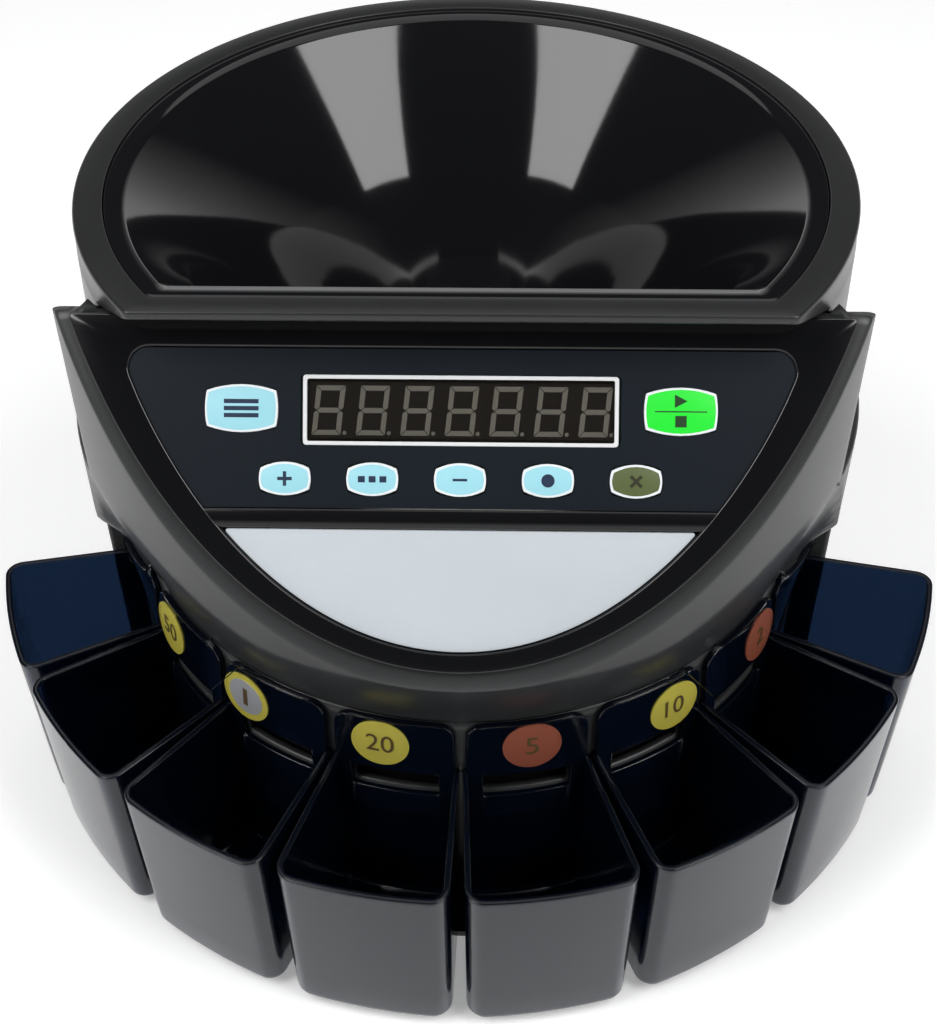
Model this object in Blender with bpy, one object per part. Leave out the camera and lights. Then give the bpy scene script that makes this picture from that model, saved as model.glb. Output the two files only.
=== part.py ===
# Coin sorting machine for a shop counter, in metres, +Z up, cups towards -Y.
# Pieces are made round the drum housing's axis and then moved back, so that the origin
# is on the table under the middle of the whole machine.
import math

import bmesh
import bpy
from mathutils import Matrix, Vector

# Overall form
HOPPER_TOP = 0.243
DRUM_RADIUS = 0.1458
DRUM_BOTTOM = 0.0073
WALL = 0.003
LEDGE_TOP = 0.160
RIDGE_TOP = 0.2304
CONSOLE_FOOT = 0.1398
RIDGE_SHARE = 0.4609
RIDGE_WIDTH = 0.0032
RIM_MARGIN = 0.0130
RIM_OVERHANG = 0.0175

# Cup bay in the drum
WAIST_DEPTH = 0.0165
FLARE_BOTTOM = 0.1045
FLARE_TOP = 0.1420
CUP_COUNT = 8
CUP_PITCH = math.radians(20.2)
BAY_MARGIN = math.radians(1.2)
EXIT_BOTTOM = 0.0720
EXIT_TOP = 0.0870
EXIT_WIDTH = 0.0310

# Cups
CUP_LENGTH = 0.0576
CUP_RIM = 0.0820
CUP_BOTTOM = 0.0030
CUP_DRAFT = 0.0023
CUP_WALL = 0.0022
CUP_FLOOR = 0.0025
CUP_BACK_GAP = 0.0007
CUP_REAR_SPACE = 0.0005
CUP_FRONT_SPACE = 0.0026
CUP_CORNER = 0.0060
CUP_HEEL = 0.0025
CUP_EDGE = 0.0045
CUP_SHELF_REACH = 0.0200
FLAP_TOP = 0.1055
FLAP_WALL = 0.0024
FLAP_STEP = 0.0002
FLAP_CORNER = 0.0070

# Clearances and overruns
SEAT = 0.0003
RUN = 0.0003
OVER = 0.0100
SKIN = 0.0005

# Base plate and feet
PLATE_BOTTOM = 0.0040
PLATE_WALL = 0.0030
FOOT_RADIUS = 0.0090
FOOT_REACH_SHARE = 0.7888
FOOT_CHAMFER = 0.0010
POST_RADIUS = 0.0050
POST_REACH_SHARE = 0.5350
STANDOFF_RADIUS = 0.0030
STANDOFF_HEIGHT = 0.0060

# Sorting deck, coin disc and chutes
DECK_BOTTOM = 0.1160
DECK_WALL = 0.0050
DECK_SPACE = 0.0007
RAIL_WALL = 0.0043
RAIL_HEIGHT = 0.0060
GATE_MARGIN = 0.0010
GATE_WIDTHS = (0.0168, 0.0193, 0.0203, 0.0218, 0.0228, 0.0238, 0.0248, 0.0263)
GATE_LENGTH_SHARE = 0.2410
GATE_ROUND = 0.0030
DISC_SHARE = 0.6173
DISC_WALL = 0.0024
DISC_RIM = 0.0080
DISC_CONE_RADIUS = 0.0260
DISC_CONE_HEIGHT = 0.0065
DISC_HUB_RADIUS = 0.0110
DISC_RIBS = 6
RIB_WIDTH = 0.0030
RIB_HEIGHT = 0.0022
RIB_START = 0.0220
RIB_MARGIN = 0.0020
CHUTE_SPACE = 0.0005
CHUTE_INNER_TOP = 0.1130
CHUTE_WALL = 0.0025
CHUTE_LIP = 0.0715
DIVIDER_WALL = 0.0020
CHUTE_SKIRT = 0.0030

# Drive
SHAFT_RADIUS = 0.0040
SHAFT_TOP = 0.1265
BUSH_RADIUS = 0.0075
BUSH_FLANGE = 0.0110
BUSH_FLANGE_WALL = 0.0020
GEAR_TEETH = 45
PINION_TEETH = 12
GEAR_BOTTOM = 0.0960
GEAR_WALL = 0.0080
GEAR_HUB_RADIUS = 0.0100
GEAR_HUB_TOP = 0.1130
TOOTH_PLAY = 0.0003
PRESSURE = math.radians(20.0)
PINION_BOTTOM = 0.0950
PINION_WALL = 0.0100
MOTOR_RADIUS = 0.0190
MOTOR_BOTTOM = 0.0520
MOTOR_TOP = 0.0920
MOTOR_BOSS = 0.0060
MOTOR_BOSS_WALL = 0.0020
MOTOR_SHAFT = 0.0020
STAND_WIDTH = 0.0440
STAND_WALL = 0.0030

# Hopper cover and funnel
COVER_MARGIN = 0.0108
COVER_WALL = 0.0025
COVER_LIP_DROP = 0.0030
BROW_TOP_DROP = 0.0115
COVER_EDGE = 0.0015
SPIGOT_DEPTH = 0.0040
SPIGOT_SPACE = 0.0004
SPIGOT_WALL = 0.0022
LEDGE_WIDTH = 0.0148
LEDGE_LIP = 0.0030
BAND_WIDTH = 0.0099
BAND_FRONT_WIDTH = 0.0087
SHELF_LAP = 0.0025
SHELF_WALL = 0.0015
FLANGE_WIDTH = 0.0063
FUNNEL_WALL = 0.0022
FUNNEL_SPREAD = 1.8
FUNNEL_BLEND = math.radians(105.0)
FUNNEL_BACK_BEND = 1.15
FUNNEL_FRONT_BEND = 0.30
FLANGE_DROP = 0.0006
THROAT_SHARE = 0.3430
THROAT_TOP = 0.1630
NECK_BOTTOM = 0.1340

# Console face, measured down the slope from the ridge
FRAME_MARGIN = 0.0041
FRAME_INSET = 0.0062
FRAME_TOP = 0.0004
FRAME_WALL = 0.0025
FRAME_CORNER = 0.0010
OVERLAY_TOP = 0.0108
OVERLAY_SHARE = 0.5144
OVERLAY_WALL = 0.0015
OVERLAY_CORNER = 0.0050
BAR_WIDTH = 0.0061
CRESCENT_WALL = 0.0012
DISPLAY_WIDTH_SHARE = 0.6900
DISPLAY_DEPTH = 0.0221
DISPLAY_DOWN_SHARE = 0.2535
DISPLAY_RIM = 0.0018
DISPLAY_CORNER = 0.0012
DISPLAY_PROUD = 0.0005
WINDOW_WALL = 0.0010
WINDOW_DROP = 0.0006
BIG_KEY_WIDTH = 0.0232
BIG_KEY_DEPTH = 0.0148
BIG_KEY_SIDE_SHARE = 0.4753
BIG_KEY_DOWN_SHARE = 0.2510
SMALL_KEY_WIDTH = 0.0165
SMALL_KEY_DEPTH = 0.0107
SMALL_KEY_PITCH_SHARE = 0.19035
SMALL_KEY_DOWN_SHARE = 0.4352
KEY_BOW = 0.0014
KEY_SIDE_BOW = 0.0008
KEY_CORNER = 0.0012
KEY_PROUD = 0.0008
KEY_FOOT = 0.0025
KEY_EDGE = 0.0004
FACE_OPENING_MARGIN = 0.0060
BOARD_WALL = 0.0016

# Rear panel, inlet and switch
REAR_WIDTH = 0.0740
REAR_BOTTOM = 0.0200
REAR_TOP = 0.0640
REAR_WALL = 0.0025
REAR_LAP = 0.0035
INLET_SIDE_SHARE = 0.2162
INLET_WIDTH_SHARE = 0.3649
INLET_HEIGHT = 0.0200
INLET_FLANGE_LAP = 0.0030
INLET_FLANGE_WALL = 0.0020
INLET_DEPTH = 0.0180
INLET_RIM = 0.0020
INLET_CUT = 0.0050
PIN_WIDTH = 0.0020
PIN_HEIGHT = 0.0040
PIN_SPREAD = 0.0070
PIN_STAGGER = 0.0018
PIN_SHORT = 0.0030
SWITCH_SIDE_SHARE = 0.2568
SWITCH_WIDTH = 0.0130
SWITCH_HEIGHT = 0.0190
SWITCH_DEPTH = 0.0120
SWITCH_LAP = 0.0020
SWITCH_FLANGE_WALL = 0.0018
SWITCH_RIM = 0.0016
ROCKER_THICK = 0.0060
ROCKER_PROUD = 0.0022
ROCKER_TILT = math.radians(8.0)
ROCKER_PIN = 0.0012

# Electronics on the base
MAIN_BOARD_WIDTH_SHARE = 0.5487
MAIN_BOARD_DEPTH_SHARE = 0.3841
MAIN_BOARD_SIDE_SHARE = 0.3500
MAIN_BOARD_BACK = 0.0080
TRANSFORMER_WIDTH_SHARE = 0.3292
TRANSFORMER_DEPTH_SHARE = 0.2743
TRANSFORMER_HEIGHT = 0.0380
TRANSFORMER_SIDE_SHARE = 0.3841
TRANSFORMER_BACK = 0.0080
CORE_LAP = 0.0060
CORE_HEIGHT = 0.0260

# Round counts
DRUM_STEPS = 64
BAY_STEPS = 32
HOPPER_STEPS = 36
FRONT_STEPS = 4
SMALL_STEPS = 20

# The table point under the middle of the whole machine is the origin
AXIS_BACK = 0.02045

# Derived sizes
RIDGE_DEPTH = DRUM_RADIUS * RIDGE_SHARE
CONSOLE_BACK = RIDGE_DEPTH - RIDGE_WIDTH
SLOPE = math.atan2(RIDGE_TOP - CONSOLE_FOOT, DRUM_RADIUS - RIDGE_DEPTH)
FACE_LENGTH = math.hypot(RIDGE_TOP - CONSOLE_FOOT, DRUM_RADIUS - RIDGE_DEPTH)
OVERLAY_FOOT = FACE_LENGTH * OVERLAY_SHARE
CRESCENT_TOP = OVERLAY_FOOT + BAR_WIDTH
DISPLAY_WIDTH = DRUM_RADIUS * DISPLAY_WIDTH_SHARE
DISPLAY_DOWN = FACE_LENGTH * DISPLAY_DOWN_SHARE
BIG_KEY_SIDE = DRUM_RADIUS * BIG_KEY_SIDE_SHARE
BIG_KEY_DOWN = FACE_LENGTH * BIG_KEY_DOWN_SHARE
SMALL_KEY_PITCH = DRUM_RADIUS * SMALL_KEY_PITCH_SHARE
SMALL_KEY_DOWN = FACE_LENGTH * SMALL_KEY_DOWN_SHARE
WAIST_RADIUS = DRUM_RADIUS - WAIST_DEPTH
RIM_RADIUS = DRUM_RADIUS - RIM_MARGIN
RIM_FRONT = RIDGE_DEPTH + RIM_OVERHANG
BAND_RADIUS = RIM_RADIUS - BAND_WIDTH
BAND_FRONT = RIM_FRONT - BAND_FRONT_WIDTH
COVER_FOOT_RADIUS = DRUM_RADIUS - COVER_MARGIN
LEDGE_BORE = DRUM_RADIUS - LEDGE_WIDTH
LEDGE_FRONT = CONSOLE_BACK - LEDGE_LIP
SPIGOT_RADIUS = LEDGE_BORE - SPIGOT_SPACE
THROAT_RADIUS = DRUM_RADIUS * THROAT_SHARE
DECK_RADIUS = WAIST_RADIUS - WALL - DECK_SPACE
RAIL_INNER = DECK_RADIUS - RAIL_WALL
GATE_OUTER = RAIL_INNER - GATE_MARGIN
DISC_RADIUS = DRUM_RADIUS * DISC_SHARE
DISC_RIM_RADIUS = DISC_RADIUS - DISC_RIM
RIB_END = DISC_RIM_RADIUS - RIB_MARGIN
CHUTE_INNER = DISC_RADIUS + CHUTE_SPACE
CHUTE_OUTER = DECK_RADIUS
GEAR_MODULE = DISC_RADIUS / GEAR_TEETH
GATE_LENGTH = GATE_OUTER * GATE_LENGTH_SHARE
INLET_SIDE = REAR_WIDTH * INLET_SIDE_SHARE
INLET_WIDTH = REAR_WIDTH * INLET_WIDTH_SHARE
SWITCH_SIDE = REAR_WIDTH * SWITCH_SIDE_SHARE
FOOT_REACH = DRUM_RADIUS * FOOT_REACH_SHARE
POST_REACH = DRUM_RADIUS * POST_REACH_SHARE
MAIN_BOARD_WIDTH = DRUM_RADIUS * MAIN_BOARD_WIDTH_SHARE
MAIN_BOARD_DEPTH = DRUM_RADIUS * MAIN_BOARD_DEPTH_SHARE
MAIN_BOARD_SIDE = DRUM_RADIUS * MAIN_BOARD_SIDE_SHARE
TRANSFORMER_WIDTH = DRUM_RADIUS * TRANSFORMER_WIDTH_SHARE
TRANSFORMER_DEPTH = DRUM_RADIUS * TRANSFORMER_DEPTH_SHARE
TRANSFORMER_SIDE = DRUM_RADIUS * TRANSFORMER_SIDE_SHARE
PLATE_TOP = PLATE_BOTTOM + PLATE_WALL
DECK_TOP = DECK_BOTTOM + DECK_WALL
BAY_HALF = CUP_PITCH * CUP_COUNT / 2 + BAY_MARGIN
CUP_BACK = WAIST_RADIUS + CUP_BACK_GAP
CUP_FRONT = CUP_BACK + CUP_LENGTH
CENTRE_DISTANCE = GEAR_MODULE * (GEAR_TEETH + PINION_TEETH) / 2


# Colours and finishes
FINISHES = {
    "black_gloss": ((0.030, 0.032, 0.036), 0.18, 0.0),
    "charcoal_satin": ((0.055, 0.057, 0.060), 0.42, 0.0),
    "funnel_gloss": ((0.022, 0.022, 0.026), 0.12, 0.0),
    "slate_overlay": ((0.030, 0.042, 0.060), 0.35, 0.0),
    "pale_plate": ((0.78, 0.82, 0.90), 0.40, 0.0),
    "white_frame": ((0.85, 0.85, 0.86), 0.45, 0.0),
    "smoke_window": ((0.035, 0.028, 0.026), 0.15, 0.0),
    "digit_grey": ((0.20, 0.18, 0.16), 0.50, 0.0),
    "key_blue": ((0.36, 0.72, 0.86), 0.40, 0.0),
    "key_green": ((0.13, 0.62, 0.22), 0.40, 0.0),
    "key_olive": ((0.55, 0.56, 0.14), 0.40, 0.0),
    "cup_navy": ((0.030, 0.040, 0.075), 0.22, 0.0),
    "board_green": ((0.03, 0.16, 0.08), 0.50, 0.0),
    "steel": ((0.55, 0.56, 0.58), 0.32, 1.0),
    "brass": ((0.62, 0.48, 0.22), 0.35, 1.0),
    "white_resin": ((0.80, 0.80, 0.76), 0.45, 0.0),
    "grey_resin": ((0.30, 0.31, 0.33), 0.40, 0.0),
    "rubber_black": ((0.020, 0.020, 0.020), 0.85, 0.0),
    "winding_yellow": ((0.60, 0.48, 0.14), 0.55, 0.0),
    "switch_red": ((0.55, 0.05, 0.04), 0.35, 0.0),
}


def clear_scene():
    for old in list(bpy.data.objects):
        bpy.data.objects.remove(old, do_unlink=True)


def finish_material(name):
    material = bpy.data.materials.get(name)
    if material:
        return material
    material = bpy.data.materials.new(name)
    material.use_nodes = True
    shader = material.node_tree.nodes["Principled BSDF"]
    colour, roughness, metallic = FINISHES[name]
    shader.inputs["Base Color"].default_value = (*colour, 1.0)
    shader.inputs["Roughness"].default_value = roughness
    shader.inputs["Metallic"].default_value = metallic
    material.diffuse_color = (*colour, 1.0)
    return material


def new_object(name, points, faces, finish=None):
    mesh = bpy.data.meshes.new(name)
    mesh.from_pydata([tuple(point) for point in points], [], faces)
    mesh.update()
    piece = bpy.data.objects.new(name, mesh)
    bpy.context.scene.collection.objects.link(piece)
    if finish:
        mesh.materials.append(finish_material(finish))
    return piece


def face_outwards(piece):
    work = bmesh.new()
    work.from_mesh(piece.data)
    bmesh.ops.recalc_face_normals(work, faces=work.faces)
    work.to_mesh(piece.data)
    work.free()


def shade_round(piece, angle=math.radians(35.0)):
    piece.data.shade_smooth()
    piece.data.set_sharp_from_angle(angle=angle)
    return piece


def combine(target, tool, operation):
    step = target.modifiers.new(operation, "BOOLEAN")
    step.operation = operation
    step.solver = "EXACT"
    step.object = tool
    bpy.context.view_layer.update()
    graph = bpy.context.evaluated_depsgraph_get()
    result = bpy.data.meshes.new_from_object(target.evaluated_get(graph))
    finish = target.data.materials[0] if target.data.materials else None
    target.modifiers.clear()
    target.data = result
    result.materials.clear()
    if finish:
        result.materials.append(finish)
    bpy.data.objects.remove(tool, do_unlink=True)
    return target


def cut(target, tool):
    return combine(target, tool, "DIFFERENCE")


def join(target, tool):
    return combine(target, tool, "UNION")


# Surfaces from rings of points: each ring has the same number of points
def ring_skin(name, rings, finish=None, closed=False):
    count = len(rings[0])
    points = [point for ring in rings for point in ring]
    faces = []
    pairs = len(rings) if closed else len(rings) - 1
    for row in range(pairs):
        low = row * count
        high = ((row + 1) % len(rings)) * count
        for step in range(count):
            after = (step + 1) % count
            faces.append((low + step, low + after, high + after, high + step))
    if not closed:
        faces.append(tuple(range(count))[::-1])
        faces.append(tuple(range((len(rings) - 1) * count, len(rings) * count)))
    piece = new_object(name, points, faces, finish)
    face_outwards(piece)
    return piece


# A turned piece: a closed outline of (radius, height) points round the Z axis
def turned(name, outline, finish=None, steps=DRUM_STEPS):
    rings = []
    for radius, height in outline:
        ring = []
        for step in range(steps):
            turn = 2 * math.pi * step / steps
            ring.append((radius * math.cos(turn), radius * math.sin(turn), height))
        rings.append(ring)
    hollow = min(radius for radius, height in outline) > 0
    return ring_skin(name, rings, finish, closed=hollow)


# A turned piece with a solid middle: outline runs from the lowest ring to the highest
def turned_solid(name, outline, finish=None, steps=DRUM_STEPS):
    rings = []
    for radius, height in outline:
        ring = []
        for step in range(steps):
            turn = 2 * math.pi * step / steps
            ring.append((radius * math.cos(turn), radius * math.sin(turn), height))
        rings.append(ring)
    return ring_skin(name, rings, finish, closed=False)


# A sector of a turned piece, centred on -Y, with flat ends
def sector(name, outline, half, finish=None, steps=BAY_STEPS):
    count = len(outline)
    points = []
    for step in range(steps + 1):
        turn = -half + 2 * half * step / steps
        for radius, height in outline:
            points.append((radius * math.sin(turn), -radius * math.cos(turn), height))
    faces = []
    for step in range(steps):
        low = step * count
        high = (step + 1) * count
        for row in range(count):
            after = (row + 1) % count
            faces.append((low + row, low + after, high + after, high + row))
    faces.append(tuple(range(count))[::-1])
    faces.append(tuple(range(steps * count, (steps + 1) * count)))
    piece = new_object(name, points, faces, finish)
    face_outwards(piece)
    return piece


# An upright prism over a flat outline of (x, y) points
def prism(name, outline, low, high, finish=None):
    rings = [[(x, y, height) for x, y in outline] for height in (low, high)]
    return ring_skin(name, rings, finish)


def block(name, low, high, finish=None):
    outline = [(low[0], low[1]), (high[0], low[1]), (high[0], high[1]), (low[0], high[1])]
    return prism(name, outline, low[2], high[2], finish)


# Rounds the corners of an outline, each corner with its own radius
def rounded(corners, steps=5):
    outline = []
    count = len(corners)
    for index in range(count):
        before = Vector(corners[index - 1][:2])
        here = Vector(corners[index][:2])
        after = Vector(corners[(index + 1) % count][:2])
        radius = corners[index][2]
        if radius <= 0:
            outline.append(tuple(here))
            continue
        to_before = (before - here).normalized()
        to_after = (after - here).normalized()
        half = to_before.angle(to_after) / 2
        reach = radius / math.tan(half)
        middle = here + (to_before + to_after).normalized() * radius / math.sin(half)
        first = here + to_before * reach - middle
        last = here + to_after * reach - middle
        sweep = first.angle_signed(last)
        for step in range(steps + 1):
            turned_arm = Matrix.Rotation(-sweep * step / steps, 2) @ first
            outline.append(tuple(middle + turned_arm))
    return outline


def round_box(width, depth, radius, steps=5):
    x = width / 2
    y = depth / 2
    return rounded([(-x, -y, radius), (x, -y, radius), (x, y, radius), (-x, y, radius)], steps)


def disc_outline(radius, steps, x=0, y=0):
    turns = [2 * math.pi * step / steps for step in range(steps)]
    return [(x + radius * math.cos(turn), y + radius * math.sin(turn)) for turn in turns]


# A D outline: a circle of this radius with a flat front at this distance
def d_ring(radius, front, height, front_radius=None):
    half = math.acos(min(front / radius, 1.0))
    ring = []
    for step in range(HOPPER_STEPS + 1):
        turn = half + (2 * math.pi - 2 * half) * step / HOPPER_STEPS
        ring.append((radius * math.sin(turn), -radius * math.cos(turn), height))
    side = radius * math.sin(half)
    for step in range(1, FRONT_STEPS):
        ring.append((-side + 2 * side * step / FRONT_STEPS, -front, height))
    return ring


def cup_angle(index):
    return (index - (CUP_COUNT - 1) / 2) * CUP_PITCH


# Places a piece made in console coordinates: x across, y up the slope, z out of the face
def on_console(piece):
    piece.location = (0, -RIDGE_DEPTH, RIDGE_TOP)
    piece.rotation_euler = (SLOPE, 0, 0)
    return piece


# Half width of the console face at a distance down the slope, for a given plan radius
def face_half_width(down, radius):
    depth = RIDGE_DEPTH + down * math.cos(SLOPE)
    return math.sqrt(max(radius * radius - depth * depth, 0))


def face_bottom(radius):
    return (radius - RIDGE_DEPTH) / math.cos(SLOPE)


# Outline of a console plate between two distances down the slope, or down to its round foot
def face_outline(radius, top, foot=None, corner=0, steps=14):
    low = face_bottom(radius) if foot is None else foot
    right = [(face_half_width(top, radius), -top, corner)]
    for step in range(1, steps):
        share = math.sin(math.pi / 2 * step / steps) if foot is None else step / steps
        down = top + (low - top) * share
        if down < top + 2 * corner or (foot is not None and down > low - 2 * corner):
            continue
        right.append((face_half_width(down, radius), -down, 0))
    if foot is None:
        loop = right + [(0, -low, 0)] + [(-x, y, turn) for x, y, turn in right[::-1]]
    else:
        right.append((face_half_width(low, radius), -low, corner / 2))
        loop = right + [(-x, y, turn) for x, y, turn in right[::-1]]
    return rounded(loop)


# Cuts away all that lies above the console slope, set back by a wall
def slope_cutter(set_back, radius):
    tall = HOPPER_TOP
    low = face_bottom(radius) + OVER
    outline = [(-radius - OVER, -low), (radius + OVER, -low), (radius + OVER, OVER), (-radius - OVER, OVER)]
    return on_console(prism("slope_cutter", outline, -set_back, tall))


def back_cutter(front, ledge, radius):
    wide = radius + OVER
    return block("back_cutter", (-wide, -front, ledge), (wide, wide, HOPPER_TOP))


# Profile of the cup bay: straight waist, then a flare out to the drum
def bay_cutter(waist, drum, bottom, wall, half):
    outline = [(drum + OVER, bottom), (waist, bottom), (waist, FLARE_BOTTOM)]
    rows = 5
    for step in range(1, rows + 1):
        share = step / rows
        ease = share * share * (3 - 2 * share)
        height = FLARE_BOTTOM + (FLARE_TOP - FLARE_BOTTOM) * share
        outline.append((waist + (DRUM_RADIUS - WAIST_RADIUS) * ease, height + wall * share))
    outline.append((drum + OVER, FLARE_TOP + wall))
    return sector("bay_cutter", outline, half)


def radial_box(name, inner, outer, width, low, high, turn):
    tool = block(name, (-width / 2, -outer, low), (width / 2, -inner, high))
    tool.rotation_euler = (0, 0, turn)
    return tool


def drum_shell():
    body = turned_solid("drum_shell", [(DRUM_RADIUS, DRUM_BOTTOM), (DRUM_RADIUS, RIDGE_TOP)], "black_gloss")
    cut(body, slope_cutter(0, DRUM_RADIUS))
    cut(body, back_cutter(CONSOLE_BACK, LEDGE_TOP, DRUM_RADIUS))
    cut(body, bay_cutter(WAIST_RADIUS, DRUM_RADIUS, -OVER, 0, BAY_HALF))
    inside = DRUM_RADIUS - WALL
    hollow = turned_solid("drum_hollow", [(inside, -OVER), (inside, RIDGE_TOP)])
    cut(hollow, slope_cutter(WALL, DRUM_RADIUS))
    cut(hollow, back_cutter(CONSOLE_BACK + WALL, LEDGE_TOP - WALL, DRUM_RADIUS))
    side = WALL / WAIST_RADIUS
    cut(hollow, bay_cutter(WAIST_RADIUS - WALL, DRUM_RADIUS, -OVER - OVER, WALL, BAY_HALF + side))
    cut(body, hollow)
    bore = ring_skin("ledge_bore", [d_ring(LEDGE_BORE, LEDGE_FRONT, height)
                                    for height in (LEDGE_TOP - WALL - OVER, LEDGE_TOP + OVER)])
    cut(body, bore)
    cut(body, sector("exit_wall_seat", [(WAIST_RADIUS - WALL - SKIN, -OVER), (WAIST_RADIUS + SKIN, -OVER),
                                        (WAIST_RADIUS + SKIN, FLARE_BOTTOM),
                                        (WAIST_RADIUS - WALL - SKIN, FLARE_BOTTOM)], BAY_HALF))
    wide = REAR_WIDTH / 2 - REAR_LAP
    cut(body, block("rear_opening", (-wide, DRUM_RADIUS - OVER - OVER, REAR_BOTTOM + REAR_LAP),
                    (wide, DRUM_RADIUS + OVER, REAR_TOP - REAR_LAP)))
    radius = DRUM_RADIUS - FRAME_MARGIN - FRAME_INSET - FACE_OPENING_MARGIN
    opening = face_outline(radius, OVERLAY_TOP + FACE_OPENING_MARGIN, OVERLAY_FOOT - FACE_OPENING_MARGIN / 2)
    cut(body, on_console(prism("face_opening", opening, -WALL - OVER, OVER)))
    return shade_round(body)


# The curved wall behind the cups, let into the drum's bay, with one coin exit for each cup
def exit_wall():
    inside = WAIST_RADIUS - WALL
    wall = sector("exit_wall", [(inside, DRUM_BOTTOM), (WAIST_RADIUS, DRUM_BOTTOM),
                                (WAIST_RADIUS, FLARE_BOTTOM - SEAT), (inside, FLARE_BOTTOM - SEAT)],
                  BAY_HALF - SEAT / WAIST_RADIUS, "black_gloss")
    for index in range(CUP_COUNT):
        cut(wall, radial_box("coin_exit", inside - OVER, WAIST_RADIUS + OVER, EXIT_WIDTH,
                             EXIT_BOTTOM, EXIT_TOP, cup_angle(index)))
    return shade_round(wall)


def base_plate():
    outline = []
    for radius, start, finish in ((CUP_BACK + CUP_SHELF_REACH, -BAY_HALF, BAY_HALF),
                                  (DRUM_RADIUS, BAY_HALF, 2 * math.pi - BAY_HALF)):
        for step in range(BAY_STEPS + 1):
            turn = start + (finish - start) * step / BAY_STEPS
            outline.append((radius * math.sin(turn), -radius * math.cos(turn)))
    plate = prism("base_plate", outline, PLATE_BOTTOM, PLATE_TOP, "black_gloss")
    post_top = DECK_BOTTOM - SEAT
    for index in range(4):
        turn = math.pi / 4 + index * math.pi / 2
        spot = (POST_REACH * math.cos(turn), POST_REACH * math.sin(turn))
        post = disc_outline(POST_RADIUS, SMALL_STEPS // 2, *spot)
        join(plate, prism("deck_post", post, PLATE_TOP - PLATE_WALL / 2, post_top))
    for x, y in board_corners():
        stud = disc_outline(STANDOFF_RADIUS, SMALL_STEPS // 2, x, y)
        join(plate, prism("stand_off", stud, PLATE_TOP - PLATE_WALL / 2, PLATE_TOP + STANDOFF_HEIGHT))
    return shade_round(plate)


def board_corners():
    inset = STANDOFF_RADIUS * 2
    x = MAIN_BOARD_DEPTH / 2 - inset
    y = MAIN_BOARD_WIDTH / 2 - inset
    return [(-MAIN_BOARD_SIDE + a * x, MAIN_BOARD_BACK + b * y) for a in (-1, 1) for b in (-1, 1)]


def feet():
    for index in range(4):
        turn = math.pi / 4 + index * math.pi / 2
        top = PLATE_BOTTOM - SEAT
        foot = turned_solid(f"foot_{index + 1}", [
            (FOOT_RADIUS - FOOT_CHAMFER, 0), (FOOT_RADIUS, FOOT_CHAMFER), (FOOT_RADIUS, top),
        ], "rubber_black", SMALL_STEPS)
        foot.location = (FOOT_REACH * math.cos(turn), FOOT_REACH * math.sin(turn), 0)
        shade_round(foot)


# Plan outline of a cup, centred on -Y
def cup_outline(shrink, front, heel, corner):
    half = CUP_PITCH / 2
    back = CUP_BACK + shrink
    reach = front - shrink
    rear = CUP_BACK * math.sin(half) - CUP_REAR_SPACE - shrink
    wide = CUP_FRONT * math.sin(half) - CUP_FRONT_SPACE - shrink
    rear_turn = math.asin(rear / back)
    front_turn = math.asin(wide / reach)
    corners = []
    for step in range(5):
        turn = rear_turn * (1 - step / 2)
        radius = heel if step in (0, 4) else 0
        corners.append((back * math.sin(turn), -back * math.cos(turn), radius))
    for step in range(5):
        turn = -front_turn * (1 - step / 2)
        radius = corner if step in (0, 4) else 0
        corners.append((reach * math.sin(turn), -reach * math.cos(turn), radius))
    return rounded(corners, 3)


def cup_ring(height, shrink, corner=CUP_CORNER):
    share = (CUP_RIM - height) / (CUP_RIM - CUP_BOTTOM)
    front = CUP_FRONT - CUP_DRAFT * max(share, 0)
    outline = cup_outline(shrink, front, CUP_HEEL, corner)
    return [(x, y, height) for x, y in outline]


def coin_cup(index):
    name = f"coin_cup_{index + 1}"
    edge = CUP_EDGE
    cup = ring_skin(name, [
        cup_ring(CUP_BOTTOM, edge * 0.6), cup_ring(CUP_BOTTOM + edge * 0.3, edge * 0.15),
        cup_ring(CUP_BOTTOM + edge, 0), cup_ring(FLAP_TOP, 0)], "cup_navy")
    floor = PLATE_TOP + SEAT
    shelf_front = CUP_BACK + CUP_SHELF_REACH + CUP_BACK_GAP
    cut(cup, sector("shelf_step", [(CUP_BACK - OVER, -OVER), (shelf_front, -OVER),
                                   (shelf_front, floor), (CUP_BACK - OVER, floor)], CUP_PITCH, None, 6))
    flap_front = CUP_BACK + FLAP_WALL + FLAP_STEP
    cut(cup, sector("rim_step", [(flap_front, CUP_RIM), (CUP_FRONT + OVER, CUP_RIM),
                                 (CUP_FRONT + OVER, FLAP_TOP + OVER), (flap_front, FLAP_TOP + OVER)],
                    CUP_PITCH, None, 6))
    inner_corner = CUP_CORNER - CUP_WALL
    hollow = ring_skin("cup_hollow", [
        cup_ring(floor + CUP_FLOOR, CUP_WALL + edge * 0.3, inner_corner),
        cup_ring(floor + CUP_FLOOR + edge * 0.6, CUP_WALL, inner_corner),
        cup_ring(FLAP_TOP + OVER, CUP_WALL, inner_corner)])
    cut(cup, hollow)
    cut(cup, flap_corner_cutter(1))
    cut(cup, flap_corner_cutter(-1))
    cut(cup, radial_box("flap_window", CUP_BACK - OVER, CUP_BACK + FLAP_WALL + CUP_WALL, EXIT_WIDTH,
                        EXIT_BOTTOM, EXIT_TOP, 0))
    cup.rotation_euler = (0, 0, cup_angle(index))
    return shade_round(cup)


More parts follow.
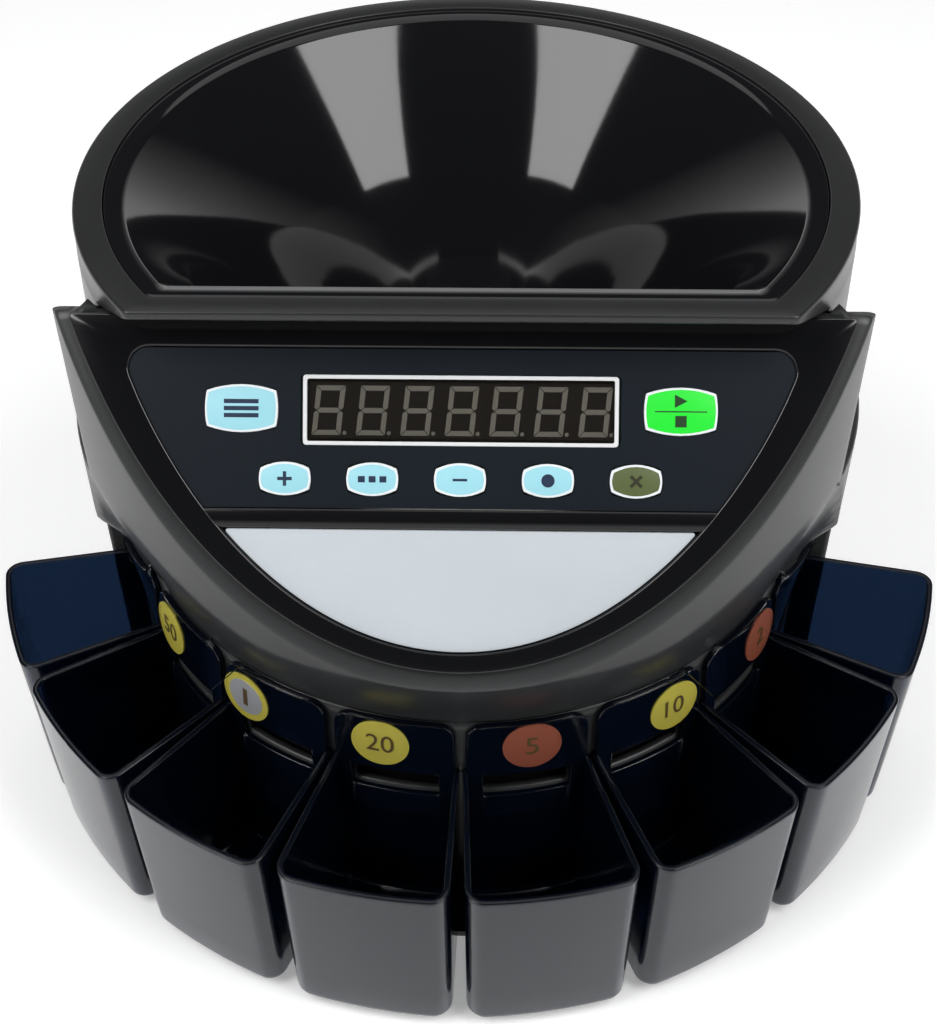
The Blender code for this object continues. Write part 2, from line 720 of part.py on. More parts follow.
# Rounds one top corner of a cup's back wall
def flap_corner_cutter(side):
    rear = CUP_BACK * math.sin(CUP_PITCH / 2) - CUP_REAR_SPACE
    middle = (rear - FLAP_CORNER, FLAP_TOP - FLAP_CORNER)
    outline = [(middle[0], FLAP_TOP + OVER)]
    for step in range(7):
        turn = math.pi / 2 * (1 - step / 6)
        outline.append((middle[0] + FLAP_CORNER * math.cos(turn), middle[1] + FLAP_CORNER * math.sin(turn)))
    outline.append((rear + OVER, middle[1]))
    outline.append((rear + OVER, FLAP_TOP + OVER))
    rings = [[(side * x, -depth, z) for x, z in outline] for depth in (CUP_BACK - OVER, CUP_BACK + OVER)]
    return ring_skin("flap_corner", rings)


def hopper_cover():
    brow = HOPPER_TOP - COVER_LIP_DROP
    under = HOPPER_TOP - BROW_TOP_DROP
    foot = LEDGE_TOP + SEAT
    front = CONSOLE_BACK - SEAT
    inner = COVER_FOOT_RADIUS - COVER_WALL
    top_inner = RIM_RADIUS - COVER_WALL
    shelf = HOPPER_TOP - FLANGE_DROP - FUNNEL_WALL - SEAT
    shelf_foot = shelf - SHELF_WALL
    rings = [
        d_ring(COVER_FOOT_RADIUS, front, foot),
        d_ring(RIM_RADIUS + COVER_EDGE / 2, front, under),
        d_ring(RIM_RADIUS, RIM_FRONT, brow),
        d_ring(RIM_RADIUS, RIM_FRONT, HOPPER_TOP - COVER_EDGE),
        d_ring(RIM_RADIUS - COVER_EDGE, RIM_FRONT - COVER_EDGE, HOPPER_TOP),
        d_ring(BAND_RADIUS, BAND_FRONT, HOPPER_TOP),
        d_ring(BAND_RADIUS, BAND_FRONT, shelf),
        d_ring(BAND_RADIUS - SHELF_LAP, BAND_FRONT - SHELF_LAP, shelf),
        d_ring(BAND_RADIUS - SHELF_LAP, BAND_FRONT - SHELF_LAP, shelf_foot),
        d_ring(top_inner, BAND_FRONT - SHELF_LAP, shelf_foot - SKIN),
        d_ring(top_inner, front - COVER_WALL, under - COVER_WALL),
        d_ring(inner, front - COVER_WALL, foot + COVER_WALL),
        d_ring(SPIGOT_RADIUS - SPIGOT_WALL, front - COVER_WALL, foot + COVER_WALL),
        d_ring(SPIGOT_RADIUS - SPIGOT_WALL, LEDGE_FRONT - SEAT - SPIGOT_WALL, foot - SPIGOT_DEPTH),
        d_ring(SPIGOT_RADIUS, LEDGE_FRONT - SEAT, foot - SPIGOT_DEPTH),
        d_ring(SPIGOT_RADIUS, LEDGE_FRONT - SEAT, foot),
    ]
    return shade_round(ring_skin("hopper_cover", rings, "charcoal_satin", closed=True))


# Rings of the funnel, from its D mouth to its round throat; the front draws in first
def funnel_rings(offset):
    mouth_radius = BAND_RADIUS - FLANGE_WIDTH + offset
    mouth_front = BAND_FRONT - FLANGE_WIDTH + offset
    top = HOPPER_TOP - FLANGE_DROP - offset
    corner = math.acos(mouth_front / mouth_radius)
    rings = []
    rows = 7
    for step in range(rows + 1):
        share = (step / rows) ** FUNNEL_SPREAD
        height = top - (top - THROAT_TOP) * share
        ring = []
        for x, y, z in d_ring(mouth_radius, mouth_front, height):
            arm = Vector((x, y))
            turn = abs(math.atan2(x, -y))
            blend = min(max((FUNNEL_BLEND - turn) / (FUNNEL_BLEND - corner), 0), 1)
            blend = blend * blend * (3 - 2 * blend)
            bend = FUNNEL_BACK_BEND + (FUNNEL_FRONT_BEND - FUNNEL_BACK_BEND) * blend
            throat = arm.normalized() * (THROAT_RADIUS + offset)
            place = arm.lerp(throat, share ** bend)
            ring.append((place.x, place.y, z))
        rings.append(ring)
    rings.append([(x, y, NECK_BOTTOM) for x, y, z in rings[-1]])
    return rings


def hopper_funnel():
    top = HOPPER_TOP - FLANGE_DROP
    edge_radius = BAND_RADIUS - SEAT
    edge_front = BAND_FRONT - SEAT
    inner = funnel_rings(0)
    outer = funnel_rings(FUNNEL_WALL)
    rings = [d_ring(edge_radius, edge_front, top), *inner, *outer[::-1],
             d_ring(edge_radius, edge_front, top - FUNNEL_WALL)]
    return shade_round(ring_skin("hopper_funnel", rings, "funnel_gloss", closed=True))


def sorting_deck():
    bore = BUSH_RADIUS + SEAT
    deck = turned("sorting_deck", [
        (bore, DECK_BOTTOM), (DECK_RADIUS, DECK_BOTTOM), (DECK_RADIUS, DECK_TOP + RAIL_HEIGHT),
        (RAIL_INNER, DECK_TOP + RAIL_HEIGHT), (RAIL_INNER, DECK_TOP), (bore, DECK_TOP)], "grey_resin")
    for index, width in enumerate(GATE_WIDTHS):
        outline = round_box(GATE_LENGTH, width, GATE_ROUND, 3)
        middle = GATE_OUTER - width / 2
        gate = prism("gate", [(x, y - middle) for x, y in outline], DECK_BOTTOM - OVER, DECK_TOP + SKIN)
        gate.rotation_euler = (0, 0, cup_angle(index))
        cut(deck, gate)
    return shade_round(deck)


def coin_disc():
    low = DECK_TOP + RUN
    high = low + DISC_WALL
    bore = SHAFT_RADIUS + SEAT
    roof = SHAFT_TOP + SEAT
    cone = high + DISC_CONE_HEIGHT
    profile = [(bore, low), (DISC_RADIUS - DISC_WALL / 2, low), (DISC_RADIUS, low + DISC_WALL / 2),
               (DISC_RIM_RADIUS, high), (DISC_CONE_RADIUS, high), (DISC_HUB_RADIUS, cone - DISC_WALL),
               (DISC_HUB_RADIUS / 2, cone), (SKIN, cone), (SKIN, roof), (bore, roof)]
    disc = turned("coin_disc", profile, "white_resin", 36)
    tip = turned_solid("tip", [(DISC_HUB_RADIUS / 4, roof), (DISC_HUB_RADIUS / 4, cone + SKIN)], None, SMALL_STEPS)
    join(disc, tip)
    for index in range(DISC_RIBS):
        turn = 2 * math.pi * index / DISC_RIBS
        rib = radial_box("rib", RIB_START, RIB_END, RIB_WIDTH, high - DISC_WALL / 2, high + RIB_HEIGHT, turn)
        join(disc, rib)
    return shade_round(disc)


# Cone floor of the chutes with one divider between neighbouring cups
def chute_ring():
    half = CUP_PITCH * CUP_COUNT / 2
    low = CHUTE_LIP
    chute = sector("chute_ring", [
        (CHUTE_INNER, CHUTE_INNER_TOP - CHUTE_WALL - CHUTE_SKIRT), (CHUTE_INNER, CHUTE_INNER_TOP),
        (CHUTE_INNER + CHUTE_WALL, CHUTE_INNER_TOP), (CHUTE_OUTER, low),
        (CHUTE_OUTER, low - CHUTE_WALL - CHUTE_SKIRT)], half, "grey_resin", 48)
    top = DECK_BOTTOM - SEAT
    for index in range(CUP_COUNT + 1):
        turn = cup_angle(index) - CUP_PITCH / 2
        shift = DIVIDER_WALL / 2
        edge = shift if index == 0 else -shift if index == CUP_COUNT else 0
        outline = [(CHUTE_INNER + SKIN, CHUTE_INNER_TOP - CHUTE_WALL), (CHUTE_INNER + SKIN, top),
                   (CHUTE_OUTER - SKIN, top), (CHUTE_OUTER - SKIN, low - CHUTE_WALL)]
        rings = [[(edge + side * shift, -radius, height) for radius, height in outline] for side in (-1, 1)]
        divider = ring_skin("divider", rings)
        divider.rotation_euler = (0, 0, turn)
        join(chute, divider)
    return shade_round(chute)


# Involute tooth outline; play is taken off each flank
def gear_outline(teeth):
    pitch = GEAR_MODULE * teeth / 2
    base = pitch * math.cos(PRESSURE)
    tip = pitch + GEAR_MODULE * 0.9
    root = pitch - GEAR_MODULE * 1.25
    half_tooth = math.pi / (2 * teeth) - TOOTH_PLAY / 2 / pitch
    spread = math.tan(PRESSURE) - PRESSURE
    outline = []
    for tooth in range(teeth):
        middle = 2 * math.pi * tooth / teeth
        flank = []
        for step in range(3):
            radius = max(base, root) + (tip - max(base, root)) * step / 2
            lean = math.acos(min(base / radius, 1.0))
            turn = half_tooth + spread - (math.tan(lean) - lean)
            flank.append((radius, turn))
        first = (root, flank[0][1])
        for radius, turn in [first] + flank:
            outline.append((radius * math.cos(middle - turn), radius * math.sin(middle - turn)))
        for radius, turn in flank[::-1] + [first]:
            outline.append((radius * math.cos(middle + turn), radius * math.sin(middle + turn)))
    return outline


def disc_gear():
    gear = prism("disc_gear", gear_outline(GEAR_TEETH), GEAR_BOTTOM, GEAR_BOTTOM + GEAR_WALL, "white_resin")
    hub = turned_solid("hub", [(GEAR_HUB_RADIUS, GEAR_BOTTOM + GEAR_WALL / 2), (GEAR_HUB_RADIUS, GEAR_HUB_TOP),
                               (SHAFT_RADIUS, GEAR_HUB_TOP), (SHAFT_RADIUS, SHAFT_TOP)], None, SMALL_STEPS)
    join(gear, hub)
    return shade_round(gear)


def shaft_bush():
    bore = SHAFT_RADIUS + SEAT
    low = GEAR_HUB_TOP + SEAT
    bush = turned("shaft_bush", [
        (bore, low), (BUSH_FLANGE, low), (BUSH_FLANGE, DECK_BOTTOM - SEAT), (BUSH_RADIUS, DECK_BOTTOM - SEAT),
        (BUSH_RADIUS, DECK_TOP), (bore, DECK_TOP)], "brass", SMALL_STEPS)
    return shade_round(bush)


def motor_pinion():
    outline = gear_outline(PINION_TEETH)
    pinion = prism("motor_pinion", outline, PINION_BOTTOM, PINION_BOTTOM + PINION_WALL, "brass")
    # A gap of the wheel faces the pinion's tooth, so the pinion starts half a tooth round
    wheel_turn = math.pi / 2 * GEAR_TEETH / (2 * math.pi)
    lead = (wheel_turn - math.floor(wheel_turn)) * 2 * math.pi / PINION_TEETH
    pinion.location = (0, CENTRE_DISTANCE + TOOTH_PLAY / 2, 0)
    pinion.rotation_euler = (0, 0, -math.pi / 2 + math.pi / PINION_TEETH + lead)
    bore = turned_solid("bore", [(MOTOR_SHAFT + SEAT, PINION_BOTTOM - OVER),
                                 (MOTOR_SHAFT + SEAT, PINION_BOTTOM + PINION_WALL + OVER)], None, SMALL_STEPS // 2)
    bore.location = pinion.location
    cut(pinion, bore)
    return shade_round(pinion)


def motor():
    flange = MOTOR_TOP
    body = turned_solid("motor", [
        (MOTOR_RADIUS, MOTOR_BOTTOM), (MOTOR_RADIUS, flange - MOTOR_BOSS_WALL),
        (MOTOR_BOSS, flange - MOTOR_BOSS_WALL), (MOTOR_BOSS, flange), (MOTOR_SHAFT, flange),
        (MOTOR_SHAFT, PINION_BOTTOM + PINION_WALL + SKIN)], "steel", SMALL_STEPS)
    body.location = (0, CENTRE_DISTANCE + TOOTH_PLAY / 2, 0)
    return shade_round(body)


# A sheet stand that carries the motor on the base: a table with two legs
def motor_stand():
    middle = CENTRE_DISTANCE + TOOTH_PLAY / 2
    half = STAND_WIDTH / 2
    low = PLATE_TOP + SEAT
    high = MOTOR_BOTTOM - SEAT
    stand = block("motor_stand", (-half, middle - half, low), (half, middle + half, high), "steel")
    inner = half - STAND_WALL
    cut(stand, block("under", (-inner, middle - half - OVER, -OVER),
                     (inner, middle + half + OVER, high - STAND_WALL)))
    return stand


def main_board():
    x = MAIN_BOARD_DEPTH / 2
    y = MAIN_BOARD_WIDTH / 2
    low = PLATE_TOP + STANDOFF_HEIGHT + SEAT
    board = block("main_board", (-MAIN_BOARD_SIDE - x, MAIN_BOARD_BACK - y, low),
                  (-MAIN_BOARD_SIDE + x, MAIN_BOARD_BACK + y, low + BOARD_WALL), "board_green")
    chip = MAIN_BOARD_DEPTH / 8
    for down in (-1, 1):
        middle = MAIN_BOARD_BACK + down * y / 2
        join(board, block("chip", (-MAIN_BOARD_SIDE - chip, middle - chip, low + BOARD_WALL / 2),
                          (-MAIN_BOARD_SIDE + chip, middle + chip, low + BOARD_WALL * 2)))
    return board


def transformer():
    x = TRANSFORMER_WIDTH / 2
    y = TRANSFORMER_DEPTH / 2
    low = PLATE_TOP + SEAT
    side = TRANSFORMER_SIDE
    core = block("transformer", (side - x, TRANSFORMER_BACK - y + CORE_LAP, low),
                 (side + x, TRANSFORMER_BACK + y - CORE_LAP, low + TRANSFORMER_HEIGHT), "winding_yellow")
    drop = (TRANSFORMER_HEIGHT - CORE_HEIGHT) / 2
    join(core, block("coil", (side - x + CORE_LAP, TRANSFORMER_BACK - y, low + drop),
                     (side + x - CORE_LAP, TRANSFORMER_BACK + y, low + drop + CORE_HEIGHT)))
    return core


def frame_radius():
    return DRUM_RADIUS - FRAME_MARGIN


def fascia_radius():
    return frame_radius() - FRAME_INSET


def console_bezel():
    frame = face_outline(frame_radius(), FRAME_TOP, None, FRAME_CORNER)
    bezel = prism("console_bezel", frame, SEAT, SEAT + FRAME_WALL, "black_gloss")
    keypad = face_outline(fascia_radius(), OVERLAY_TOP, OVERLAY_FOOT, OVERLAY_CORNER)
    cut(bezel, prism("keypad_opening", keypad, -OVER, OVER))
    cut(bezel, prism("crescent_opening", face_outline(fascia_radius(), CRESCENT_TOP), -OVER, OVER))
    return on_console(bezel)


def keypad_overlay():
    outline = face_outline(fascia_radius() - SEAT, OVERLAY_TOP + SEAT, OVERLAY_FOOT - SEAT, OVERLAY_CORNER)
    overlay = prism("keypad_overlay", outline, SEAT, SEAT + OVERLAY_WALL, "slate_overlay")
    hole = round_box(DISPLAY_WIDTH + 2 * SEAT, DISPLAY_DEPTH + 2 * SEAT, DISPLAY_CORNER + SEAT, 3)
    cut(overlay, prism("display_hole", [(x, y - DISPLAY_DOWN) for x, y in hole], -OVER, OVER))
    for name, x, down, width, depth, finish in KEYS:
        shape = key_outline(width + 2 * RUN, depth + 2 * RUN)
        cut(overlay, prism("key_hole", [(x + a, b - down) for a, b in shape], -OVER, OVER))
    return on_console(overlay)


def crescent_plate():
    outline = face_outline(fascia_radius() - SEAT, CRESCENT_TOP + SEAT)
    return on_console(prism("crescent_plate", outline, SEAT, SEAT + CRESCENT_WALL, "pale_plate"))


# Barrel outline of a key: bowed top and bottom, slightly bowed sides
def key_outline(width, depth):
    x = width / 2
    y = depth / 2 - KEY_BOW
    side = x - KEY_SIDE_BOW
    corners = [(-side, -y, KEY_CORNER), (0, -y - KEY_BOW, 0), (side, -y, KEY_CORNER), (x, 0, 0),
               (side, y, KEY_CORNER), (0, y + KEY_BOW, 0), (-side, y, KEY_CORNER), (-x, 0, 0)]
    share = 0.5
    bowed = []
    for index, (a, b, radius) in enumerate(corners):
        bowed.append((a, b, radius))
        c, d, after = corners[(index + 1) % len(corners)]
        lift_x = KEY_SIDE_BOW / 4 * math.copysign(1, a + c) if index in (2, 3, 6, 7) else 0
        lift_y = KEY_BOW / 4 * math.copysign(1, b + d) if index in (0, 1, 4, 5) else 0
        bowed.append(((a + c) * share + lift_x, (b + d) * share + lift_y, 0))
    return rounded(bowed, 2)


KEYS = (
    ("key_report", -BIG_KEY_SIDE, BIG_KEY_DOWN, BIG_KEY_WIDTH, BIG_KEY_DEPTH, "key_blue"),
    ("key_start_stop", BIG_KEY_SIDE, BIG_KEY_DOWN, BIG_KEY_WIDTH, BIG_KEY_DEPTH, "key_green"),
    ("key_plus", -2 * SMALL_KEY_PITCH, SMALL_KEY_DOWN, SMALL_KEY_WIDTH, SMALL_KEY_DEPTH, "key_blue"),
    ("key_batch", -SMALL_KEY_PITCH, SMALL_KEY_DOWN, SMALL_KEY_WIDTH, SMALL_KEY_DEPTH, "key_blue"),
    ("key_minus", 0, SMALL_KEY_DOWN, SMALL_KEY_WIDTH, SMALL_KEY_DEPTH, "key_blue"),
    ("key_set", SMALL_KEY_PITCH, SMALL_KEY_DOWN, SMALL_KEY_WIDTH, SMALL_KEY_DEPTH, "key_blue"),
    ("key_clear", 2 * SMALL_KEY_PITCH, SMALL_KEY_DOWN, SMALL_KEY_WIDTH, SMALL_KEY_DEPTH, "key_olive"),
)


def push_key(name, x, down, width, depth, finish):
    top = SEAT + OVERLAY_WALL + KEY_PROUD
    outline = key_outline(width, depth)
    cap = key_outline(width - 2 * KEY_EDGE, depth - 2 * KEY_EDGE)
    rings = [[(a, b, -KEY_FOOT) for a, b in outline], [(a, b, top - KEY_EDGE) for a, b in outline],
             [(a, b, top) for a, b in cap]]
    key = ring_skin(name, rings, finish)
    key.rotation_euler = (SLOPE, 0, 0)
    key.location = (x, -RIDGE_DEPTH - down * math.cos(SLOPE), RIDGE_TOP - down * math.sin(SLOPE))
    return shade_round(key)


def display_frame():
    outer = round_box(DISPLAY_WIDTH, DISPLAY_DEPTH, DISPLAY_CORNER, 3)
    top = SEAT + OVERLAY_WALL + DISPLAY_PROUD
    frame = prism("display_frame", [(x, y - DISPLAY_DOWN) for x, y in outer], -KEY_FOOT, top, "white_frame")
    hole = round_box(DISPLAY_WIDTH - 2 * DISPLAY_RIM, DISPLAY_DEPTH - 2 * DISPLAY_RIM, DISPLAY_CORNER / 2, 3)
    cut(frame, prism("window_hole", [(x, y - DISPLAY_DOWN) for x, y in hole], -OVER, OVER))
    return on_console(frame)


def display_window():
    width = DISPLAY_WIDTH - 2 * DISPLAY_RIM - 2 * SEAT
    depth = DISPLAY_DEPTH - 2 * DISPLAY_RIM - 2 * SEAT
    outline = round_box(width, depth, DISPLAY_CORNER / 2, 3)
    high = SEAT + OVERLAY_WALL + DISPLAY_PROUD - WINDOW_DROP
    pane = prism("display_window", [(x, y - DISPLAY_DOWN) for x, y in outline], high - WINDOW_WALL, high,
                 "smoke_window")
    return on_console(pane)


def display_module():
    width = DISPLAY_WIDTH - 2 * DISPLAY_RIM - 2 * SEAT
    depth = DISPLAY_DEPTH - 2 * DISPLAY_RIM - 2 * SEAT
    outline = round_box(width, depth, DISPLAY_CORNER / 2, 3)
    high = SEAT + OVERLAY_WALL + DISPLAY_PROUD - WINDOW_DROP - WINDOW_WALL - SEAT
    module = prism("display_module", [(x, y - DISPLAY_DOWN) for x, y in outline], -WALL, high, "digit_grey")
    return on_console(module)


def key_board():
    radius = fascia_radius() - FACE_OPENING_MARGIN + BOARD_WALL
    foot = OVERLAY_FOOT - FACE_OPENING_MARGIN / 2 + BOARD_WALL
    outline = face_outline(radius, OVERLAY_TOP + FACE_OPENING_MARGIN - BOARD_WALL, foot)
    top = -WALL - SEAT
    return on_console(prism("key_board", outline, top - BOARD_WALL, top, "board_green"))


def rear_face():
    corner = REAR_WIDTH / 2
    inside = DRUM_RADIUS - WALL
    return math.sqrt(inside * inside - corner * corner) - SEAT


def rear_panel():
    half = REAR_WIDTH / 2
    face = rear_face()
    panel = block("rear_panel", (-half, face - REAR_WALL, REAR_BOTTOM), (half, face, REAR_TOP), "charcoal_satin")
    height = (REAR_BOTTOM + REAR_TOP) / 2
    gap = 2 * SEAT
    cut(panel, rear_block("inlet_hole", -INLET_SIDE, INLET_WIDTH + gap, INLET_HEIGHT + gap,
                          face - REAR_WALL - OVER, face + OVER, height))
    cut(panel, rear_block("switch_hole", SWITCH_SIDE, SWITCH_WIDTH + gap, SWITCH_HEIGHT + gap,
                          face - REAR_WALL - OVER, face + OVER, height))
    return panel


def rear_block(name, side, width, tall, near, far, height, finish=None):
    return block(name, (side - width / 2, near, height - tall / 2), (side + width / 2, far, height + tall / 2),
                 finish)


def mains_inlet():
    face = rear_face()
    height = (REAR_BOTTOM + REAR_TOP) / 2
    inlet = rear_block("mains_inlet", -INLET_SIDE, INLET_WIDTH, INLET_HEIGHT,
                       face - INLET_DEPTH, face + SEAT + INLET_FLANGE_WALL / 2, height, "rubber_black")
    lap = 2 * INLET_FLANGE_LAP
    join(inlet, rear_block("flange", -INLET_SIDE, INLET_WIDTH + lap, INLET_HEIGHT + lap,
                           face + SEAT, face + SEAT + INLET_FLANGE_WALL, height))
    x = INLET_WIDTH / 2 - INLET_RIM
    z = INLET_HEIGHT / 2 - INLET_RIM
    cut_corner = INLET_CUT
    outline = [(-x, -z), (x, -z), (x, z - cut_corner), (x - cut_corner, z), (-x + cut_corner, z),
               (-x, z - cut_corner)]
    near = face - INLET_DEPTH + INLET_RIM
    far = face + OVER
    rings = [[(-INLET_SIDE + a, depth, height + b) for a, b in outline] for depth in (near, far)]
    cut(inlet, ring_skin("socket", rings))
    for step in (-1, 0, 1):
        lift = PIN_STAGGER if step == 0 else -PIN_STAGGER
        join(inlet, rear_block("pin", -INLET_SIDE + step * PIN_SPREAD, PIN_WIDTH, PIN_HEIGHT,
                               near - INLET_RIM / 2, face - PIN_SHORT, height + lift))
    return inlet


def switch_frame():
    face = rear_face()
    height = (REAR_BOTTOM + REAR_TOP) / 2
    frame = rear_block("switch_frame", SWITCH_SIDE, SWITCH_WIDTH, SWITCH_HEIGHT,
                       face - SWITCH_DEPTH, face + SEAT + SWITCH_FLANGE_WALL / 2, height, "rubber_black")
    lap = 2 * SWITCH_LAP
    join(frame, rear_block("flange", SWITCH_SIDE, SWITCH_WIDTH + lap, SWITCH_HEIGHT + lap,
                           face + SEAT, face + SEAT + SWITCH_FLANGE_WALL, height))
    rim = 2 * SWITCH_RIM
    cut(frame, rear_block("well", SWITCH_SIDE, SWITCH_WIDTH - rim, SWITCH_HEIGHT - rim,
                          face - SWITCH_DEPTH + SWITCH_RIM, face + OVER, height))
    return frame


# The rocker turns on a pin across its middle; its face is a shallow V
def power_rocker():
    face = rear_face()
    height = (REAR_BOTTOM + REAR_TOP) / 2
    width = SWITCH_WIDTH - 2 * SWITCH_RIM - 2 * RUN
    tall = SWITCH_HEIGHT - 2 * SWITCH_RIM - 4 * RUN
    front = SWITCH_FLANGE_WALL + ROCKER_PROUD
    drop = math.tan(ROCKER_TILT) * tall / 2
    back = front - ROCKER_THICK
    outline = [(back, -tall / 4), (front, -tall / 2), (front - drop, 0), (front, tall / 2), (back, tall / 4)]
    rings = [[(side * width / 2, a, b) for a, b in outline] for side in (-1, 1)]
    rocker = ring_skin("power_rocker", rings, "switch_red")
    pin = disc_outline(ROCKER_PIN, SMALL_STEPS // 2)
    reach = width / 2 + RUN / 2
    rings = [[(side * reach, a + (front + back - drop) / 2, b) for a, b in pin] for side in (-1, 1)]
    join(rocker, ring_skin("rocker_pin", rings))
    rocker.location = (SWITCH_SIDE, face + SEAT, height)
    rocker.rotation_euler = (-ROCKER_TILT, 0, 0)
    return rocker


clear_scene()
base_plate()
feet()
drum_shell()
exit_wall()
chute_ring()
sorting_deck()
shaft_bush()
disc_gear()
coin_disc()
motor_stand()
motor()
motor_pinion()
main_board()
transformer()
rear_panel()
mains_inlet()
switch_frame()
power_rocker()
key_board()
display_module()
display_window()
display_frame()
keypad_overlay()
crescent_plate()
console_bezel()
for key in KEYS:
    push_key(*key)
for cup in range(CUP_COUNT):
    coin_cup(cup)
hopper_cover()
hopper_funnel()
for piece in bpy.context.scene.objects:
    piece.location.y += AXIS_BACK
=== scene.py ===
import math

import bmesh
import bpy
import numpy as np
from mathutils import Matrix, Quaternion, Vector


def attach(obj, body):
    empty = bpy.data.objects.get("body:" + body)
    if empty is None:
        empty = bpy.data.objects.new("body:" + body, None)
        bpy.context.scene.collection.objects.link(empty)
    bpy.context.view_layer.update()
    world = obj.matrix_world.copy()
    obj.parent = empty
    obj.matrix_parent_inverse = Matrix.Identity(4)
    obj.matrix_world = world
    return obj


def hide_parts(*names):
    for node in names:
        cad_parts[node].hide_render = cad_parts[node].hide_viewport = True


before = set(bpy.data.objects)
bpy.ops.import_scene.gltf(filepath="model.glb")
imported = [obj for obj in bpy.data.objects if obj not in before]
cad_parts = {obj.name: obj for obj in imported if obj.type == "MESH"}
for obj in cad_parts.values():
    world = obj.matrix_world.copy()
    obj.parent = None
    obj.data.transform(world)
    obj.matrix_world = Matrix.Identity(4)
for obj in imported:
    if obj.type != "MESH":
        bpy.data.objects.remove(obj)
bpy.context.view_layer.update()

scene = bpy.context.scene


# Studio: a seamless white table, two large soft boxes at either side of the camera and a
# pale room that is dark overhead. The camera stands in front, looking down into the hopper.
camera_data = bpy.data.cameras.new("camera")
camera_data.sensor_fit = "AUTO"
camera_data.sensor_width = 36.0
camera_data.lens = 1560.033 * 36.0 / 1024
camera_data.shift_x = 3.195 / 1024
camera_data.clip_start = 0.01
camera_data.clip_end = 60.0
camera = bpy.data.objects.new("camera", camera_data)
scene.collection.objects.link(camera)
look_down = math.radians(43.1)
look_side = math.radians(1.58)
camera_roll = math.radians(-0.52)
camera_back = Vector((math.sin(look_side) * math.cos(look_down), -math.cos(look_side) * math.cos(look_down),
                      math.sin(look_down)))
camera_right = (-camera_back).cross(Vector((0, 0, 1))).normalized()
camera_up = camera_back.cross(camera_right)
right = camera_right * math.cos(camera_roll) + camera_up * math.sin(camera_roll)
up = camera_up * math.cos(camera_roll) - camera_right * math.sin(camera_roll)
axis_back = 0.02045
camera.matrix_world = Matrix((
    (right.x, up.x, camera_back.x, camera_back.x * 0.581455),
    (right.y, up.y, camera_back.y, camera_back.y * 0.581455 - 0.045085 + axis_back),
    (right.z, up.z, camera_back.z, camera_back.z * 0.581455 + 0.124354),
    (0, 0, 0, 1)))
scene.camera = camera
scene.view_settings.view_transform = "Standard"

floor_mesh = bpy.data.meshes.new("floor")
floor_mesh.from_pydata([(-9, -9, 0), (9, -9, 0), (9, 9, 0), (-9, 9, 0)], [], [(0, 1, 2, 3)])
floor = bpy.data.objects.new("floor", floor_mesh)
scene.collection.objects.link(floor)
floor_paint = bpy.data.materials.new("white_table")
floor_paint.use_nodes = True
floor_shader = floor_paint.node_tree.nodes["Principled BSDF"]
floor_shader.inputs["Base Color"].default_value = (0.97, 0.97, 0.97, 1)
floor_shader.inputs["Roughness"].default_value = 0.7
floor_shader.inputs["Emission Color"].default_value = (1, 1, 1, 1)
floor_shader.inputs["Emission Strength"].default_value = 0.28
floor_mesh.materials.append(floor_paint)


def soft_box(name, azimuth, elevation, distance, width, height, power, roll=0):
    """An area light on a sphere round the machine, facing its middle and rolled about that line."""
    light = bpy.data.lights.new(name, "AREA")
    light.shape = "RECTANGLE"
    light.size = width
    light.size_y = height
    light.energy = power
    lamp = bpy.data.objects.new(name, light)
    scene.collection.objects.link(lamp)
    turn = math.radians(azimuth)
    lift = math.radians(elevation)
    place = Vector((math.sin(turn) * math.cos(lift), -math.cos(turn) * math.cos(lift), math.sin(lift)))
    lamp.location = place * distance + Vector((0, 0, 0.12))
    facing = place.to_track_quat("Z", "Y") @ Quaternion((0, 0, 1), math.radians(roll))
    lamp.rotation_euler = facing.to_euler()


soft_box("soft_box_left", -57, 53, 1.6, 0.64, 0.95, 13, 22)
soft_box("soft_box_right", 57, 53, 1.6, 0.64, 0.95, 13, -22)
soft_box("table_light", 180, 72, 3.0, 3.0, 3.0, 26)

room = bpy.data.worlds.new("room")
scene.world = room
room.use_nodes = True
room_nodes = room.node_tree.nodes
room_links = room.node_tree.links
room_place = room_nodes.new("ShaderNodeTexCoord")
room_split = room_nodes.new("ShaderNodeSeparateXYZ")
room_ramp = room_nodes.new("ShaderNodeValToRGB")
room_links.new(room_place.outputs["Generated"], room_split.inputs[0])
room_links.new(room_split.outputs["Z"], room_ramp.inputs[0])
for stop, place, colour in zip(room_ramp.color_ramp.elements, (0.10, 0.42), ((1, 1, 1, 1), (0.03, 0.03, 0.032, 1))):
    stop.position = place
    stop.color = colour
room_links.new(room_ramp.outputs[0], room_nodes["Background"].inputs["Color"])


# Drum housing: one black moulding of low gloss, 3 mm thick. The round wall has a waist for the cups
# that flares out under the console, a sloped face for the keys, and a ledge for the hopper.
def smooth_step(share):
    """3 s^2 - 2 s^3 of a share held between 0 and 1."""
    share = np.clip(share, 0, 1)
    return share * share * (3 - 2 * share)


def grid_faces(rows, columns, close_rows=False, close_columns=False, keep=None, start=0):
    """Quads between neighbours of a rows by columns grid of points; keep is a mask of the cells to fill."""
    i = np.arange(rows if close_rows else rows - 1)
    j = np.arange(columns if close_columns else columns - 1)
    i, j = np.meshgrid(i, j, indexing="ij")
    a = i * columns + j
    b = ((i + 1) % rows) * columns + j
    c = ((i + 1) % rows) * columns + (j + 1) % columns
    d = i * columns + (j + 1) % columns
    quads = np.stack([a, b, c, d], -1) + start
    return quads[keep] if keep is not None else quads.reshape(-1, 4)


